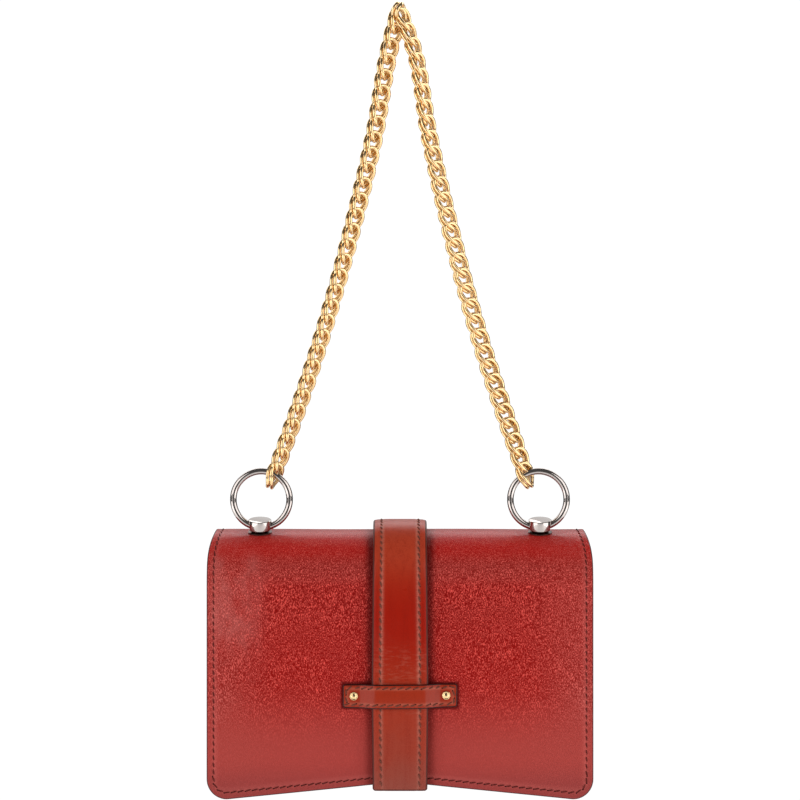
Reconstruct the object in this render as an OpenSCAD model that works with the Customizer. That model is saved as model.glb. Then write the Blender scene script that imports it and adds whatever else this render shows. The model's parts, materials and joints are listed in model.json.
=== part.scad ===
// Chain shoulder bag with a folding flap, hung by the top of its chain.
// The origin is the place inside the highest link where a hook or a finger holds it.
// +Z is up, +X is to the right as seen from the front, and the front faces -Y.

/* [Body] */
// Width of the flap and the back
bag_w = 200; // [180:1:230]
// Height from the top of the roll to the flap's lowest corners
bag_h = 138.3; // [128:0.1:160]
// Depth from the flap's outer face to the back's outer face
bag_d = 56; // [50:0.5:64]
// Radius of the lower corners of the flap and the back
corner_r = 10.5; // [8:0.5:14]
// Rise of the flap's lower edge from its corners to its middle
arch_rise = 9.5; // [6:0.5:14]
// Height of the body's lower edge over the flap's lowest corners
body_lift = 10; // [8:0.5:16]
// How far each side draws in at the top of the roll
top_taper = 3.5; // [2:0.1:5]
// Height over which the sides draw in
taper_h = 20; // [15:1:26]
// How far the seams of the sides and the bottom stand in from the edges
seam_margin = 6; // [5:0.5:9]
// Width of the turned edges that are sewn to the panels
flange_w = 4; // [3:0.5:5]
// How deep the side panels fold inwards
gusset_fold = 5; // [2:0.5:9]
// Height of the roll's centre over the mouth's front edge
mouth_drop = 8; // [5:0.5:12]
// How far the front panel is smaller than the back all round
panel_inset = 1; // [0.5:0.1:2]

/* [Materials] */
// Thickness of the outer leather
leather_t = 1.5; // [1.2:0.1:2]
// Thickness of the stiffening boards
board_t = 0.8; // [0.5:0.1:1.2]
// Thickness of the lining
lining_t = 0.6; // [0.4:0.1:1]
// How far the flap's board stays inside the flap's edge
board_inset = 1; // [0.5:0.1:3]

/* [Flap fold] */
// Angle in front of the roll's top where the stretch that bends ends
fold_end_angle = 50; // [46:1:55]

/* [Strap] */
// Thickness of the strap
strap_t = 3.5; // [2.5:0.1:4.5]
// Width of the strap over the roll and down the back
strap_top_w = 27.3; // [22:0.1:32]
// Width of the strap at its widest, on the flap
strap_mid_w = 29.4; // [24:0.1:34]
// Width of the strap at its free end
strap_end_w = 28.3; // [23:0.1:33]
// How far the free end passes the flap's edge
strap_over = 4; // [2:0.5:8]
// Length of the strap down the back, below the roll's centre
strap_back_l = 62; // [40:1:80]
// Cut of the free end's corners
strap_cut = 1.2; // [0.5:0.1:3]
// Space between the strap and the leather under it
strap_gap = 0.4; // [0.3:0.05:0.6]

/* [Keeper] */
// Length of the keeper across the strap
keeper_w = 59.2; // [56:0.1:66]
// Height of the keeper
keeper_h = 12.1; // [9:0.1:16]
// Thickness of the keeper
keeper_t = 1.4; // [1:0.1:2]
// Height of the roll's top over the keeper's middle
keeper_drop = 84.8; // [70:0.1:100]
// Distance between the two rivets
rivet_span = 47.7; // [46:0.1:50]
// Radius of a rivet's head
rivet_r = 2.2; // [1.6:0.1:2.8]
// Height of a rivet's head
rivet_head_h = 0.8; // [0.5:0.1:1.2]
// Radius of a rivet's shank
rivet_shank_r = 1; // [0.7:0.05:1.3]

/* [Posts and rings] */
// Distance from the bag's side to each ring's centre
ring_margin = 27.4; // [24:0.1:36]
// How far each post stands outside its ring's centre
post_offset = 0.8; // [0:0.1:1.2]
// Outer diameter of a ring
ring_d = 33; // [30:0.1:38]
// Diameter of a ring's wire
ring_wire = 3.5; // [3:0.1:3.8]
// How far each post leans forward
post_lean = 14; // [10:1:18]
// Radius of a post's drum
post_r = 6; // [5.5:0.1:7]
// Height of a post's drum
post_h = 6.5; // [6.3:0.1:8]
// Radius of a post's foot
post_foot_r = 4.2; // [3.5:0.1:5]
// Height of the bevel under a post's drum
post_bevel_h = 1.5; // [1:0.1:2]
// Cut of the rim of a post's cap
post_cut = 0.3; // [0.1:0.05:0.5]
// Height of the ring's passage over a post's foot
passage_h = 2.2; // [2.2:0.05:2.4]
// Radius of a post's threaded stud
stud_r = 1.5; // [1.2:0.1:2]
// Radius of the washer under a post
washer_r = 6.3; // [5.8:0.1:7]
// Thickness of the washer under a post
washer_t = 0.5; // [0.3:0.05:0.8]
// How deep the leather is flattened under a washer
dimple = 0.7; // [0.4:0.05:0.9]
// Radius of the nut inside
nut_r = 4.5; // [4:0.1:5.5]
// Thickness of the nut inside
nut_t = 1.5; // [1.2:0.1:2]

/* [Chain] */
// Height of the hang point over the places where the rings hang
chain_drop = 246.4; // [220:0.1:300]
// Outer width of a link
link_w = 9.2; // [8.8:0.1:9.8]
// Outer length of a link
link_l = 11.6; // [11.2:0.1:12.6]
// Diameter of a link's wire
link_wire = 1.5; // [1.3:0.05:1.6]
// Angle on a ring, inwards from its top, where the chain holds it
contact_angle = 21; // [15:1:26]
// Angle from the vertical at which each leg starts from the highest link
leg_lead = 9.8; // [8:0.1:12]

/* [Snap] */
// Radius of the magnetic snap
snap_r = 7; // [6:0.1:9]
// Thickness of the half on the flap
snap_male_t = 1.8; // [1.4:0.1:2.4]
// Thickness of the half on the front panel
snap_female_t = 1.5; // [1.4:0.1:2.4]
// Space between the closed halves
snap_gap = 0.3; // [0.3:0.05:0.5]
// Radius of the stud in the snap's middle
snap_stud_r = 2.5; // [2:0.1:3]
// Length of the stud in the snap's middle
snap_stud_h = 1; // [0.7:0.05:1]
// Depth of the hole for the stud
snap_hole_h = 1.1; // [1.1:0.05:1.2]
// Radius of the shank behind each half
snap_shank_r = 2; // [1.5:0.1:2.5]
// Radius of the plate behind each half
snap_plate_r = 6; // [5:0.1:8]
// Height of the snap's middle over the flap's lowest corners
snap_lift = 32.3; // [28:0.1:38]

/* [Pocket] */
// Width of the pocket on the lining
pocket_w = 120; // [90:1:140]
// Height of the pocket on the lining
pocket_h = 62; // [50:1:75]
// Thickness of the pocket's cloth
pocket_t = 0.8; // [0.5:0.1:1.2]

/* [Hidden] */
$fn = 96;

// Overrun of cutting shapes past the faces that they open
cut_over = 5;
// Clearance of a pin in its hole
pin_gap = 0.08;
// Clearance of a fixed piece beside its neighbour
fit_gap = 0.3;
// Clearance between linked links
link_gap = 0.4;
// Clearance between the two wires of a doubled link
pair_gap = 0.06;
// Clearance between the first links of the chain's two legs
leg_gap = 0.4;
// Depth of a ring's passage below the wire's centre when the ring leans
passage_floor = 1.1;
// Reach of a passage to each side of the ring's lowest point
passage_reach = 9;
// Angle between the washers' seats and the stretch that bends
fold_lead_angle = 0.5;
// Angle behind the roll's top where its board starts
top_board_back_angle = 60;
// Angle before the fold where the roll's board ends
top_board_margin_angle = 1;
// Angle past the fold where the flap's board starts
flap_board_margin_angle = 5;
// Height of the pocket's lower edge over the bottom
pocket_lift = 22;

// Insets and depths of the sides near the roll's top, as shares of top_taper and taper_h
taper_shares = [[1, 0], [0.35, 0.2], [0.15, 0.45], [0, 1]];
// Place of the strap's widest part, as a share of its length on the flap
strap_mid_share = 0.6;
// Greatest step of a wedge that cuts a sector out of the roll, in degrees
wedge_step_angle = 30;
// Steps that measure the length of a chain leg
leg_steps = 80;

// Sizes of a link
link_r = link_wire / 2;
link_a = link_w / 2 - link_r;
link_b = link_l / 2 - link_r;
pair_off = link_r + pair_gap / 2;
pair_half = pair_off + link_r;
link_pitch = 2 * link_b - link_wire - link_gap;

// The highest link lies along X with the origin inside its upper wire
top_link_z = link_r - link_a;
chain_pivot_z = top_link_z - link_a;

// Start of a leg, where its first link hangs in the end of the highest link
first_x = pair_half + leg_gap / 2;
first_in = first_x + pair_off - (link_b - link_a);
first_rise = sqrt(pow(link_a - link_wire - fit_gap, 2) - pow(first_in, 2));
leg_start_x = first_x + link_b * sin(leg_lead);
leg_start_z = top_link_z - first_rise - link_b * cos(leg_lead);

// Places of the rings
half_w = bag_w / 2;
ring_x = half_w - ring_margin;
ring_r = ring_wire / 2;
ring_big_r = ring_d / 2 - ring_r;
contact_x = ring_x - ring_big_r * sin(contact_angle);
ring_z = -chain_drop - ring_big_r * cos(contact_angle);
passage_z = ring_z - ring_big_r;

// Shape of a leg from its first link to the ring
leg_fall = leg_start_z + chain_drop;
leg_spread = leg_fall * tan(leg_lead);
leg_curve = contact_x - leg_start_x - leg_spread;
hook_in = link_b - link_r - ring_r - fit_gap;

function leg_at(s) = [leg_start_x + leg_spread * s + leg_curve * s * s, leg_start_z - leg_fall * s];
function leg_step_l(i) = norm(leg_at(i / leg_steps) - leg_at((i - 1) / leg_steps));
function leg_run(i) = i == 0 ? 0 : leg_run(i - 1) + leg_step_l(i);
leg_table = [for (i = [0 : leg_steps]) [leg_run(i), i / leg_steps]];
leg_links_l = leg_run(leg_steps) - hook_in;
leg_spaces = 2 * ceil(leg_links_l / (2 * link_pitch));
function leg_share(i) = lookup(i * leg_links_l / leg_spaces, leg_table);
function leg_tilt(s) = -atan2(leg_spread + 2 * leg_curve * s, leg_fall);

// Centre and layers of the top roll
roll_r = bag_d / 2;
foot_rho = roll_r - dimple + washer_t;
passage_rho = foot_rho + passage_h;
roll_y = passage_rho * sin(post_lean);
roll_z = passage_z - passage_rho * cos(post_lean);
top_z = roll_z + roll_r;
low_z = top_z - bag_h;
under_leather_r = roll_r - leather_t;
under_board_r = under_leather_r - board_t;
under_lining_r = under_board_r - lining_t;
post_x = ring_x + post_offset;
fold_start_angle = post_lean + asin((washer_r + fit_gap) / roll_r) + fold_lead_angle;

// Levels of the body
body_z = low_z + body_lift;
bottom_z = body_z + seam_margin;
mouth_z = roll_z - mouth_drop;

// Faces of the front and the back, along Y
flap_y = roll_y - roll_r;
flap_in_y = roll_y - under_lining_r;
front_y = flap_in_y + snap_male_t + snap_gap + snap_female_t;
front_in_y = front_y + leather_t;
back_in_y = roll_y + under_leather_r;
middle_y = (front_in_y + back_in_y) / 2;
half_depth = (back_in_y - front_in_y) / 2;

// Half width of what lies flat between the side panels' turned edges
inside_w = half_w - seam_margin - leather_t - fit_gap;

// Places on the flap
arch_z = low_z + arch_rise;
strap_in_r = roll_r + strap_gap;
strap_out_r = strap_in_r + strap_t;
strap_tail_z = arch_z - strap_over;
keeper_z = top_z - keeper_drop;
keeper_in_y = roll_y - strap_out_r - fit_gap;
snap_z = low_z + snap_lift;
rivet_burr_r = rivet_r;

// Nut inside, its flat face seated in the curve of the board
nut_top = sqrt(pow(under_board_r, 2) - pow(nut_r, 2)) - pin_gap;

// Half width of the side panels' outer faces at a depth y
function side_x(y) = half_w - seam_margin - gusset_fold * (1 - abs(y - middle_y) / half_depth);
// Point on the roll, at an angle in front of its top
function roll_point(r, angle) = [-r * sin(angle), r * cos(angle)];

// Layout helpers

// Sweeps a profile drawn in Y and Z along X
module along_x(w) {
    rotate([90, 0, 90]) linear_extrude(w, center = true) children();
}

// Sweeps an outline drawn in X and Z from one depth to another
module along_y(y0, y1) {
    translate([0, y1, 0]) rotate([90, 0, 0]) linear_extrude(y1 - y0) children();
}

// Round bar along Y
module bar_y(r, y0, y1, x, z) {
    translate([x, y0, z]) rotate([-90, 0, 0]) cylinder(r = r, h = y1 - y0);
}

// Stretch of the roll between two radii and two angles in front of its top
module roll_sector(r_out, r_in, from, to) {
    steps = ceil((to - from) / wedge_step_angle);
    rim = [for (i = [0 : steps]) roll_point(2 * r_out, from + (to - from) * i / steps)];
    translate([roll_y, roll_z]) intersection() {
        difference() {
            circle(r_out);
            circle(r_in);
        }
        polygon(concat([[0, 0]], rim));
    }
}

// Flat stretch of a sheet that hangs below the roll's centre
module hanging(r_out, r_in, low, side) {
    translate([roll_y + side * (r_out + r_in) / 2, (roll_z + low) / 2])
        square([r_out - r_in, roll_z - low], center = true);
}

// Outline of the flap and the back, seen from the front
module outline(low, inset) {
    w = half_w - inset;
    r = corner_r - inset;
    z0 = low + inset;
    right = [for (p = taper_shares) [w - p[0] * top_taper, top_z - p[1] * taper_h]];
    left = [for (i = [len(right) - 1 : -1 : 0]) [-right[i][0], right[i][1]]];
    over = [[-w + top_taper, top_z + cut_over], [w - top_taper, top_z + cut_over]];
    difference() {
        polygon(concat(over, right, [[w, z0], [-w, z0]], left));
        for (side = [0, 1]) mirror([side, 0]) difference() {
            translate([w - r, z0 - r]) square(2 * r);
            translate([w - r, z0 + r]) circle(r);
        }
    }
}

// Outline of the flap, with its arched lower edge
module flap_outline(inset) {
    difference() {
        outline(low_z, inset);
        polygon([
            [corner_r - half_w, low_z + inset],
            [0, arch_z + inset],
            [half_w - corner_r, low_z + inset],
            [half_w - corner_r, low_z - cut_over],
            [corner_r - half_w, low_z - cut_over]
        ]);
    }
}

// Layer of the flap from an angle on the roll down to its lower edge
module flap_layer(r_out, r_in, from, inset) {
    intersection() {
        along_x(bag_w) {
            roll_sector(r_out, r_in, from, 90);
            hanging(r_out, r_in, low_z, -1);
        }
        along_y(flap_y - cut_over, roll_y) flap_outline(inset);
    }
}

// Plan of the body's inside, drawn in X and Y
module body_plan(inset_x, inset_y) {
    y0 = front_in_y + inset_y;
    y1 = back_in_y - inset_y;
    x_end = side_x(y0) - inset_x;
    x_mid = side_x(middle_y) - inset_x;
    polygon([
        [-x_end, y0], [x_end, y0], [x_mid, middle_y],
        [x_end, y1], [-x_end, y1], [-x_mid, middle_y]
    ]);
}

// Frame of a post, with Z along its axis from the roll's centre
module post_frame(side) {
    translate([side * post_x, roll_y, roll_z]) rotate([post_lean, 0, 0]) children();
}

// Chain

// One wire of a link, standing along Z and wide along X
module link() {
    straight = link_b - link_a;
    for (end = [0, 180]) rotate([0, end, 0]) {
        translate([0, 0, straight]) rotate([90, 0, 0])
            rotate_extrude(angle = 180) translate([link_a, 0]) circle(link_r);
        translate([link_a, 0, -straight]) cylinder(r = link_r, h = 2 * straight);
    }
}

// Doubled link
module link_pair() {
    for (side = [-1, 1]) translate([0, side * pair_off, 0]) link();
}

module chain_top_link() {
    color([0.83, 0.62, 0.32]) translate([0, 0, top_link_z]) rotate([0, 90, 0]) link_pair();
}

// Leg on the right, whose links turn by a quarter from one to the next
module chain_leg() {
    for (i = [0 : leg_spaces]) {
        s = leg_share(i);
        p = leg_at(s);
        translate([p[0], 0, p[1]]) rotate([0, leg_tilt(s), 0])
            rotate([0, 0, i % 2 == 0 ? 90 : 0]) link_pair();
    }
}

module chain_left_leg() {
    color([0.83, 0.62, 0.32]) mirror([1, 0, 0]) chain_leg();
}

module chain_right_leg() {
    color([0.83, 0.62, 0.32]) chain_leg();
}

// Rings and posts

module ring(side) {
    color([0.8, 0.8, 0.82]) translate([side * ring_x, 0, ring_z]) rotate([90, 0, 0])
        rotate_extrude() translate([ring_big_r, 0]) circle(ring_r);
}

module ring_left() {
    ring(-1);
}

module ring_right() {
    ring(1);
}

// Room that the ring's lowest stretch sweeps as it leans either way
module passage(side) {
    reach = 2 * passage_reach;
    translate([side * ring_x, 0, passage_z]) rotate([0, 90, 0]) {
        cylinder(r = ring_r + pin_gap, h = reach, center = true);
        intersection() {
            rotate_extrude() difference() {
                translate([0, -passage_reach]) square([ring_big_r / 2, reach]);
                translate([ring_big_r, 0]) circle(ring_big_r - ring_r - pin_gap);
            }
            rotate([0, -90, 0]) rotate([post_lean, 0, 0])
                translate([-passage_reach, -ring_big_r, -passage_floor])
                    cube([reach, 2 * ring_big_r, 2 * ring_big_r]);
        }
    }
}

module post(side) {
    top = foot_rho + post_h;
    color([0.8, 0.8, 0.82]) difference() {
        post_frame(side) rotate_extrude() polygon([
            [0, nut_top - nut_t],
            [stud_r, nut_top - nut_t],
            [stud_r, foot_rho],
            [post_foot_r, foot_rho],
            [post_r, foot_rho + post_bevel_h],
            [post_r, top - post_cut],
            [post_r - post_cut, top],
            [0, top]
        ]);
        passage(side);
    }
}

module post_left() {
    post(-1);
}

module post_right() {
    post(1);
}

module post_washer(side) {
    color([0.16, 0.14, 0.14]) post_frame(side) difference() {
        translate([0, 0, foot_rho - washer_t]) cylinder(r = washer_r, h = washer_t);
        translate([0, 0, foot_rho - cut_over]) cylinder(r = stud_r + pin_gap, h = 2 * cut_over);
    }
}

module post_washer_left() {
    post_washer(-1);
}

module post_washer_right() {
    post_washer(1);
}

module post_nut(side) {
    color([0.7, 0.7, 0.72]) post_frame(side) difference() {
        translate([0, 0, nut_top - nut_t]) cylinder(r = nut_r, h = nut_t);
        translate([0, 0, nut_top - cut_over]) cylinder(r = stud_r + pin_gap, h = 2 * cut_over);
    }
}

module post_nut_left() {
    post_nut(-1);
}

module post_nut_right() {
    post_nut(1);
}

// Holes of one radius along both posts' axes
module post_holes(r) {
    for (side = [-1, 1]) post_frame(side) cylinder(r = r, h = 2 * roll_r);
}

// Body

module back_panel() {
    color([0.66, 0.12, 0.1]) difference() {
        intersection() {
            along_x(bag_w) {
                roll_sector(roll_r, under_leather_r, -90, fold_start_angle);
                hanging(roll_r, under_leather_r, body_z, 1);
            }
            along_y(roll_y - roll_r, roll_y + roll_r + cut_over) outline(body_z, 0);
        }
        post_holes(stud_r + pin_gap);
        for (side = [-1, 1]) post_frame(side)
            translate([0, 0, roll_r - dimple]) cylinder(r = washer_r + fit_gap, h = cut_over);
    }
}

module top_board() {
    color([0.55, 0.5, 0.45]) difference() {
        along_x(2 * (half_w - top_taper - board_inset)) roll_sector(
            under_leather_r, under_board_r, -top_board_back_angle, fold_start_angle - top_board_margin_angle
        );
        post_holes(stud_r + pin_gap);
    }
}

module back_board() {
    color([0.55, 0.5, 0.45]) along_x(2 * inside_w)
        hanging(under_leather_r, under_board_r, bottom_z + leather_t, 1);
}

module roof_lining() {
    color([0.5, 0.42, 0.36]) difference() {
        along_x(2 * inside_w) {
            roll_sector(under_board_r, under_lining_r, -90, fold_start_angle);
            hanging(under_board_r, under_lining_r, mouth_z, 1);
        }
        post_holes(nut_r + fit_gap);
    }
}

module front_panel() {
    color([0.64, 0.12, 0.1]) difference() {
        along_y(front_y, front_in_y) intersection() {
            outline(body_z, panel_inset);
            translate([0, (body_z + mouth_z) / 2]) square([bag_w, mouth_z - body_z], center = true);
        }
        bar_y(snap_shank_r + pin_gap, front_y - cut_over, front_in_y + cut_over, 0, snap_z);
    }
}

module front_board() {
    low = bottom_z + leather_t;
    color([0.55, 0.5, 0.45]) difference() {
        along_y(front_in_y, front_in_y + board_t)
            translate([0, (low + mouth_z) / 2]) square([2 * inside_w, mouth_z - low], center = true);
        bar_y(snap_plate_r + fit_gap, front_y, front_in_y + cut_over, 0, snap_z);
    }
}

// Side panel on the right, folded inwards, with its turned edges sewn to the front and the back
module gusset() {
    x_seam = half_w - seam_margin;
    x_fold = x_seam - gusset_fold;
    x_edge = x_seam + flange_w;
    z0 = bottom_z + leather_t;
    color([0.6, 0.11, 0.09]) translate([0, 0, z0]) linear_extrude(mouth_z - z0) polygon([
        [x_edge, front_in_y],
        [x_edge, front_in_y + leather_t],
        [x_seam, front_in_y + leather_t],
        [x_fold, middle_y],
        [x_seam, back_in_y - leather_t],
        [x_edge, back_in_y - leather_t],
        [x_edge, back_in_y],
        [x_seam - leather_t, back_in_y],
        [x_fold - leather_t, middle_y],
        [x_seam - leather_t, front_in_y]
    ]);
}

module gusset_left() {
    mirror([1, 0, 0]) gusset();
}

module gusset_right() {
    gusset();
}

module bottom_panel() {
    edge_w = 2 * (half_w - seam_margin);
    color([0.6, 0.11, 0.09]) {
        translate([0, 0, bottom_z]) linear_extrude(leather_t) body_plan(0, 0);
        for (y = [front_in_y + leather_t / 2, back_in_y - leather_t / 2])
            translate([0, y, bottom_z - flange_w / 2])
                cube([edge_w, leather_t, flange_w], center = true);
    }
}

module bottom_board() {
    color([0.55, 0.5, 0.45]) translate([0, 0, bottom_z + leather_t])
        linear_extrude(board_t) body_plan(leather_t + fit_gap, board_t);
}

module inner_lining() {
    z0 = bottom_z + leather_t + board_t;
    color([0.5, 0.42, 0.36]) {
        translate([0, 0, z0]) linear_extrude(lining_t) body_plan(leather_t, board_t);
        translate([0, 0, z0 + lining_t]) linear_extrude(mouth_z - z0 - lining_t) difference() {
            body_plan(leather_t, board_t);
            body_plan(leather_t + lining_t, board_t + lining_t);
        }
    }
}

module slip_pocket() {
    y1 = back_in_y - board_t - lining_t;
    z0 = bottom_z + pocket_lift;
    color([0.46, 0.38, 0.32]) along_y(y1 - pocket_t, y1)
        translate([0, z0 + pocket_h / 2]) square([pocket_w, pocket_h], center = true);
}

// Snap

module snap_female() {
    color([0.82, 0.66, 0.4]) difference() {
        union() {
            bar_y(snap_r, front_y - snap_female_t, front_y, 0, snap_z);
            bar_y(snap_shank_r, front_y - snap_female_t, front_in_y + board_t, 0, snap_z);
        }
        bar_y(
            snap_stud_r + fit_gap, front_y - snap_female_t - cut_over,
            front_y - snap_female_t + snap_hole_h, 0, snap_z
        );
    }
}

module snap_female_plate() {
    color([0.7, 0.7, 0.72]) difference() {
        bar_y(snap_plate_r, front_in_y, front_in_y + board_t, 0, snap_z);
        bar_y(snap_shank_r + pin_gap, front_y, front_in_y + cut_over, 0, snap_z);
    }
}

module snap_male() {
    color([0.82, 0.66, 0.4]) {
        bar_y(snap_r, flap_in_y, flap_in_y + snap_male_t, 0, snap_z);
        bar_y(snap_stud_r, flap_in_y, flap_in_y + snap_male_t + snap_stud_h, 0, snap_z);
        bar_y(snap_shank_r, roll_y - under_leather_r, flap_in_y + snap_male_t, 0, snap_z);
    }
}

module snap_male_plate() {
    color([0.7, 0.7, 0.72]) difference() {
        bar_y(snap_plate_r, roll_y - under_leather_r, roll_y - under_board_r, 0, snap_z);
        bar_y(snap_shank_r + pin_gap, flap_y, flap_in_y, 0, snap_z);
    }
}

// Flap

// Holes of one radius for the keeper's two rivets
module rivet_holes(r) {
    for (side = [-1, 1])
        bar_y(r, keeper_in_y - cut_over, flap_in_y, side * rivet_span / 2, keeper_z);
}

module flap_fold() {
    color([0.66, 0.12, 0.1]) intersection() {
        along_x(bag_w) roll_sector(roll_r, under_lining_r, fold_start_angle, fold_end_angle);
        along_y(flap_y, roll_y) outline(low_z, 0);
    }
}

module flap_outer() {
    color([0.68, 0.12, 0.1]) difference() {
        flap_layer(roll_r, under_leather_r, fold_end_angle, 0);
        rivet_holes(rivet_shank_r + pin_gap);
    }
}

module flap_board() {
    color([0.55, 0.5, 0.45]) difference() {
        flap_layer(under_leather_r, under_board_r, fold_end_angle + flap_board_margin_angle, board_inset);
        rivet_holes(rivet_burr_r + fit_gap);
        bar_y(snap_plate_r + fit_gap, flap_y, flap_in_y, 0, snap_z);
    }
}

module flap_lining() {
    color([0.5, 0.42, 0.36]) difference() {
        flap_layer(under_board_r, under_lining_r, fold_end_angle, 0);
        bar_y(snap_shank_r + pin_gap, flap_y, flap_in_y + cut_over, 0, snap_z);
    }
}

// Strap

module strap_rear() {
    color([0.72, 0.2, 0.1]) along_x(strap_top_w) {
        roll_sector(strap_out_r, strap_in_r, -90, fold_start_angle);
        hanging(strap_out_r, strap_in_r, roll_z - strap_back_l, 1);
    }
}

module strap_fold() {
    color([0.72, 0.2, 0.1]) along_x(strap_top_w)
        roll_sector(strap_out_r, strap_in_r, fold_start_angle, fold_end_angle);
}

module strap_front() {
    start_z = roll_z + strap_out_r * cos(fold_end_angle);
    mid_z = start_z + (strap_tail_z - start_z) * strap_mid_share;
    right = [
        [strap_top_w, start_z],
        [strap_mid_w, mid_z],
        [strap_end_w, strap_tail_z + strap_cut],
        [strap_end_w - 2 * strap_cut, strap_tail_z]
    ];
    color([0.74, 0.2, 0.1]) intersection() {
        along_x(2 * strap_mid_w) {
            roll_sector(strap_out_r, strap_in_r, fold_end_angle, 90);
            hanging(strap_out_r, strap_in_r, strap_tail_z, -1);
        }
        along_y(roll_y - 2 * strap_out_r, roll_y) polygon(concat(
            [for (p = right) [p[0] / 2, p[1]]],
            [for (i = [len(right) - 1 : -1 : 0]) [-right[i][0] / 2, right[i][1]]]
        ));
    }
}

// Band that lies on the flap at both ends and passes over the strap
module keeper() {
    x0 = strap_mid_w / 2 + strap_gap;
    x1 = x0 + strap_t;
    out_y = keeper_in_y - keeper_t;
    end_y = flap_y - keeper_t;
    right = [
        [x0, out_y], [x1, end_y], [keeper_w / 2, end_y], [keeper_w / 2, flap_y],
        [x1 - keeper_t / 2, flap_y], [x0 - keeper_t / 2, keeper_in_y]
    ];
    color([0.62, 0.12, 0.1]) difference() {
        translate([0, 0, keeper_z]) linear_extrude(keeper_h, center = true) polygon(concat(
            right, [for (i = [len(right) - 1 : -1 : 0]) [-right[i][0], right[i][1]]]
        ));
        rivet_holes(rivet_shank_r + pin_gap);
    }
}

module keeper_rivets() {
    color([0.85, 0.66, 0.36]) for (side = [-1, 1]) {
        x = side * rivet_span / 2;
        y0 = flap_y - keeper_t;
        bar_y(rivet_r, y0 - rivet_head_h, y0, x, keeper_z);
        bar_y(rivet_shank_r, y0 - rivet_head_h, roll_y - under_board_r, x, keeper_z);
    }
}

module rivet_burrs() {
    color([0.7, 0.7, 0.72]) for (side = [-1, 1]) {
        x = side * rivet_span / 2;
        difference() {
            bar_y(rivet_burr_r, roll_y - under_leather_r, roll_y - under_board_r, x, keeper_z);
            bar_y(rivet_shank_r + pin_gap, flap_y, flap_in_y, x, keeper_z);
        }
    }
}

chain_top_link();
chain_left_leg();
chain_right_leg();
ring_left();
ring_right();
post_left();
post_right();
post_washer_left();
post_washer_right();
post_nut_left();
post_nut_right();
back_panel();
top_board();
back_board();
roof_lining();
front_panel();
front_board();
gusset_left();
gusset_right();
bottom_panel();
bottom_board();
inner_lining();
slip_pocket();
snap_female();
snap_female_plate();
flap_fold();
flap_outer();
flap_board();
flap_lining();
snap_male();
snap_male_plate();
strap_rear();
strap_fold();
strap_front();
keeper();
keeper_rivets();
rivet_burrs();
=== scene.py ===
"""Dresses the chain shoulder bag: leather, lining, stitches, links, rings, posts and snap.

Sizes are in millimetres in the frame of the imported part: +Z is up, the front faces -Y, and the
origin lies inside the chain's highest link. Meshes are made in metres.
"""

import json
import logging
import math
from dataclasses import dataclass, field
from enum import Enum
from typing import Callable, Sequence

import bmesh
import bpy
import numpy as np
from mathutils import Matrix, Vector

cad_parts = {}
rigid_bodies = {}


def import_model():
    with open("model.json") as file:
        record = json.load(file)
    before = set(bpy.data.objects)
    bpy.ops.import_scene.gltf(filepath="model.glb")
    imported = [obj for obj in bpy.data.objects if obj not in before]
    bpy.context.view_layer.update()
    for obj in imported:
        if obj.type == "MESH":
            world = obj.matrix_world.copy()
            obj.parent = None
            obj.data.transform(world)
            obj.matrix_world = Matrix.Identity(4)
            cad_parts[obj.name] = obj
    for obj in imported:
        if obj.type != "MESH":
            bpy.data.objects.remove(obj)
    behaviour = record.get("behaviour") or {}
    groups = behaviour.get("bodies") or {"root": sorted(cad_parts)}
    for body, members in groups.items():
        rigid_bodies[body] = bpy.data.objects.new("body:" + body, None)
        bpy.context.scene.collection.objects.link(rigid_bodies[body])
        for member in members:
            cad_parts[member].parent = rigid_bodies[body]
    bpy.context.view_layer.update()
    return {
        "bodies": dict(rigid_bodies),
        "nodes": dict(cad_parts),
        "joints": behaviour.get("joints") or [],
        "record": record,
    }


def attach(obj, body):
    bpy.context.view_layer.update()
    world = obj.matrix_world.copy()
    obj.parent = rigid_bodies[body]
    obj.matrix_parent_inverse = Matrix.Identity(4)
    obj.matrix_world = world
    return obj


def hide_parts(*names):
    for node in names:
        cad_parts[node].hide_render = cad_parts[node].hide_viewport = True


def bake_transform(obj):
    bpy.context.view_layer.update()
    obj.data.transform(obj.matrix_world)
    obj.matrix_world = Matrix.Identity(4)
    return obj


LOG = logging.getLogger("bag")
MM = 0.001
MERGE = 0.002  # Points of a mesh that lie nearer than this become one.
FACE_DEPTH = 0.3  # Stitches pull in only what lies nearer to the outer face than this.
Point = tuple[float, float, float]
Pieces = list[bpy.types.Object]
PlaceFn = Callable[[float, float, float, float], np.ndarray]
ShareFn = Callable[[float, float], float]


class Side(Enum):
    """Left or right half, as seen from the front."""

    LEFT = -1
    RIGHT = 1

    @property
    def word(self) -> str:
        """The side's name inside piece names."""
        return self.name.lower()


class Slot(Enum):
    """Material slots of the part's record."""

    RED_LEATHER = "red_leather"
    STRAP_LEATHER = "strap_leather"
    LINING = "lining"
    GOLD = "gold"
    SILVER = "silver"
    SNAP_METAL = "snap_metal"
    DARK_STEEL = "dark_steel"


class Rides(Enum):
    """Bodies of the part that a piece moves with, or the fold between bag and flap."""

    HANG_LINK = "hang_link"
    CHAIN = "chain"
    RING_LEFT = "ring_left"
    RING_RIGHT = "ring_right"
    BAG = "bag"
    FLAP = "flap"
    FOLD = "fold"


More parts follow.
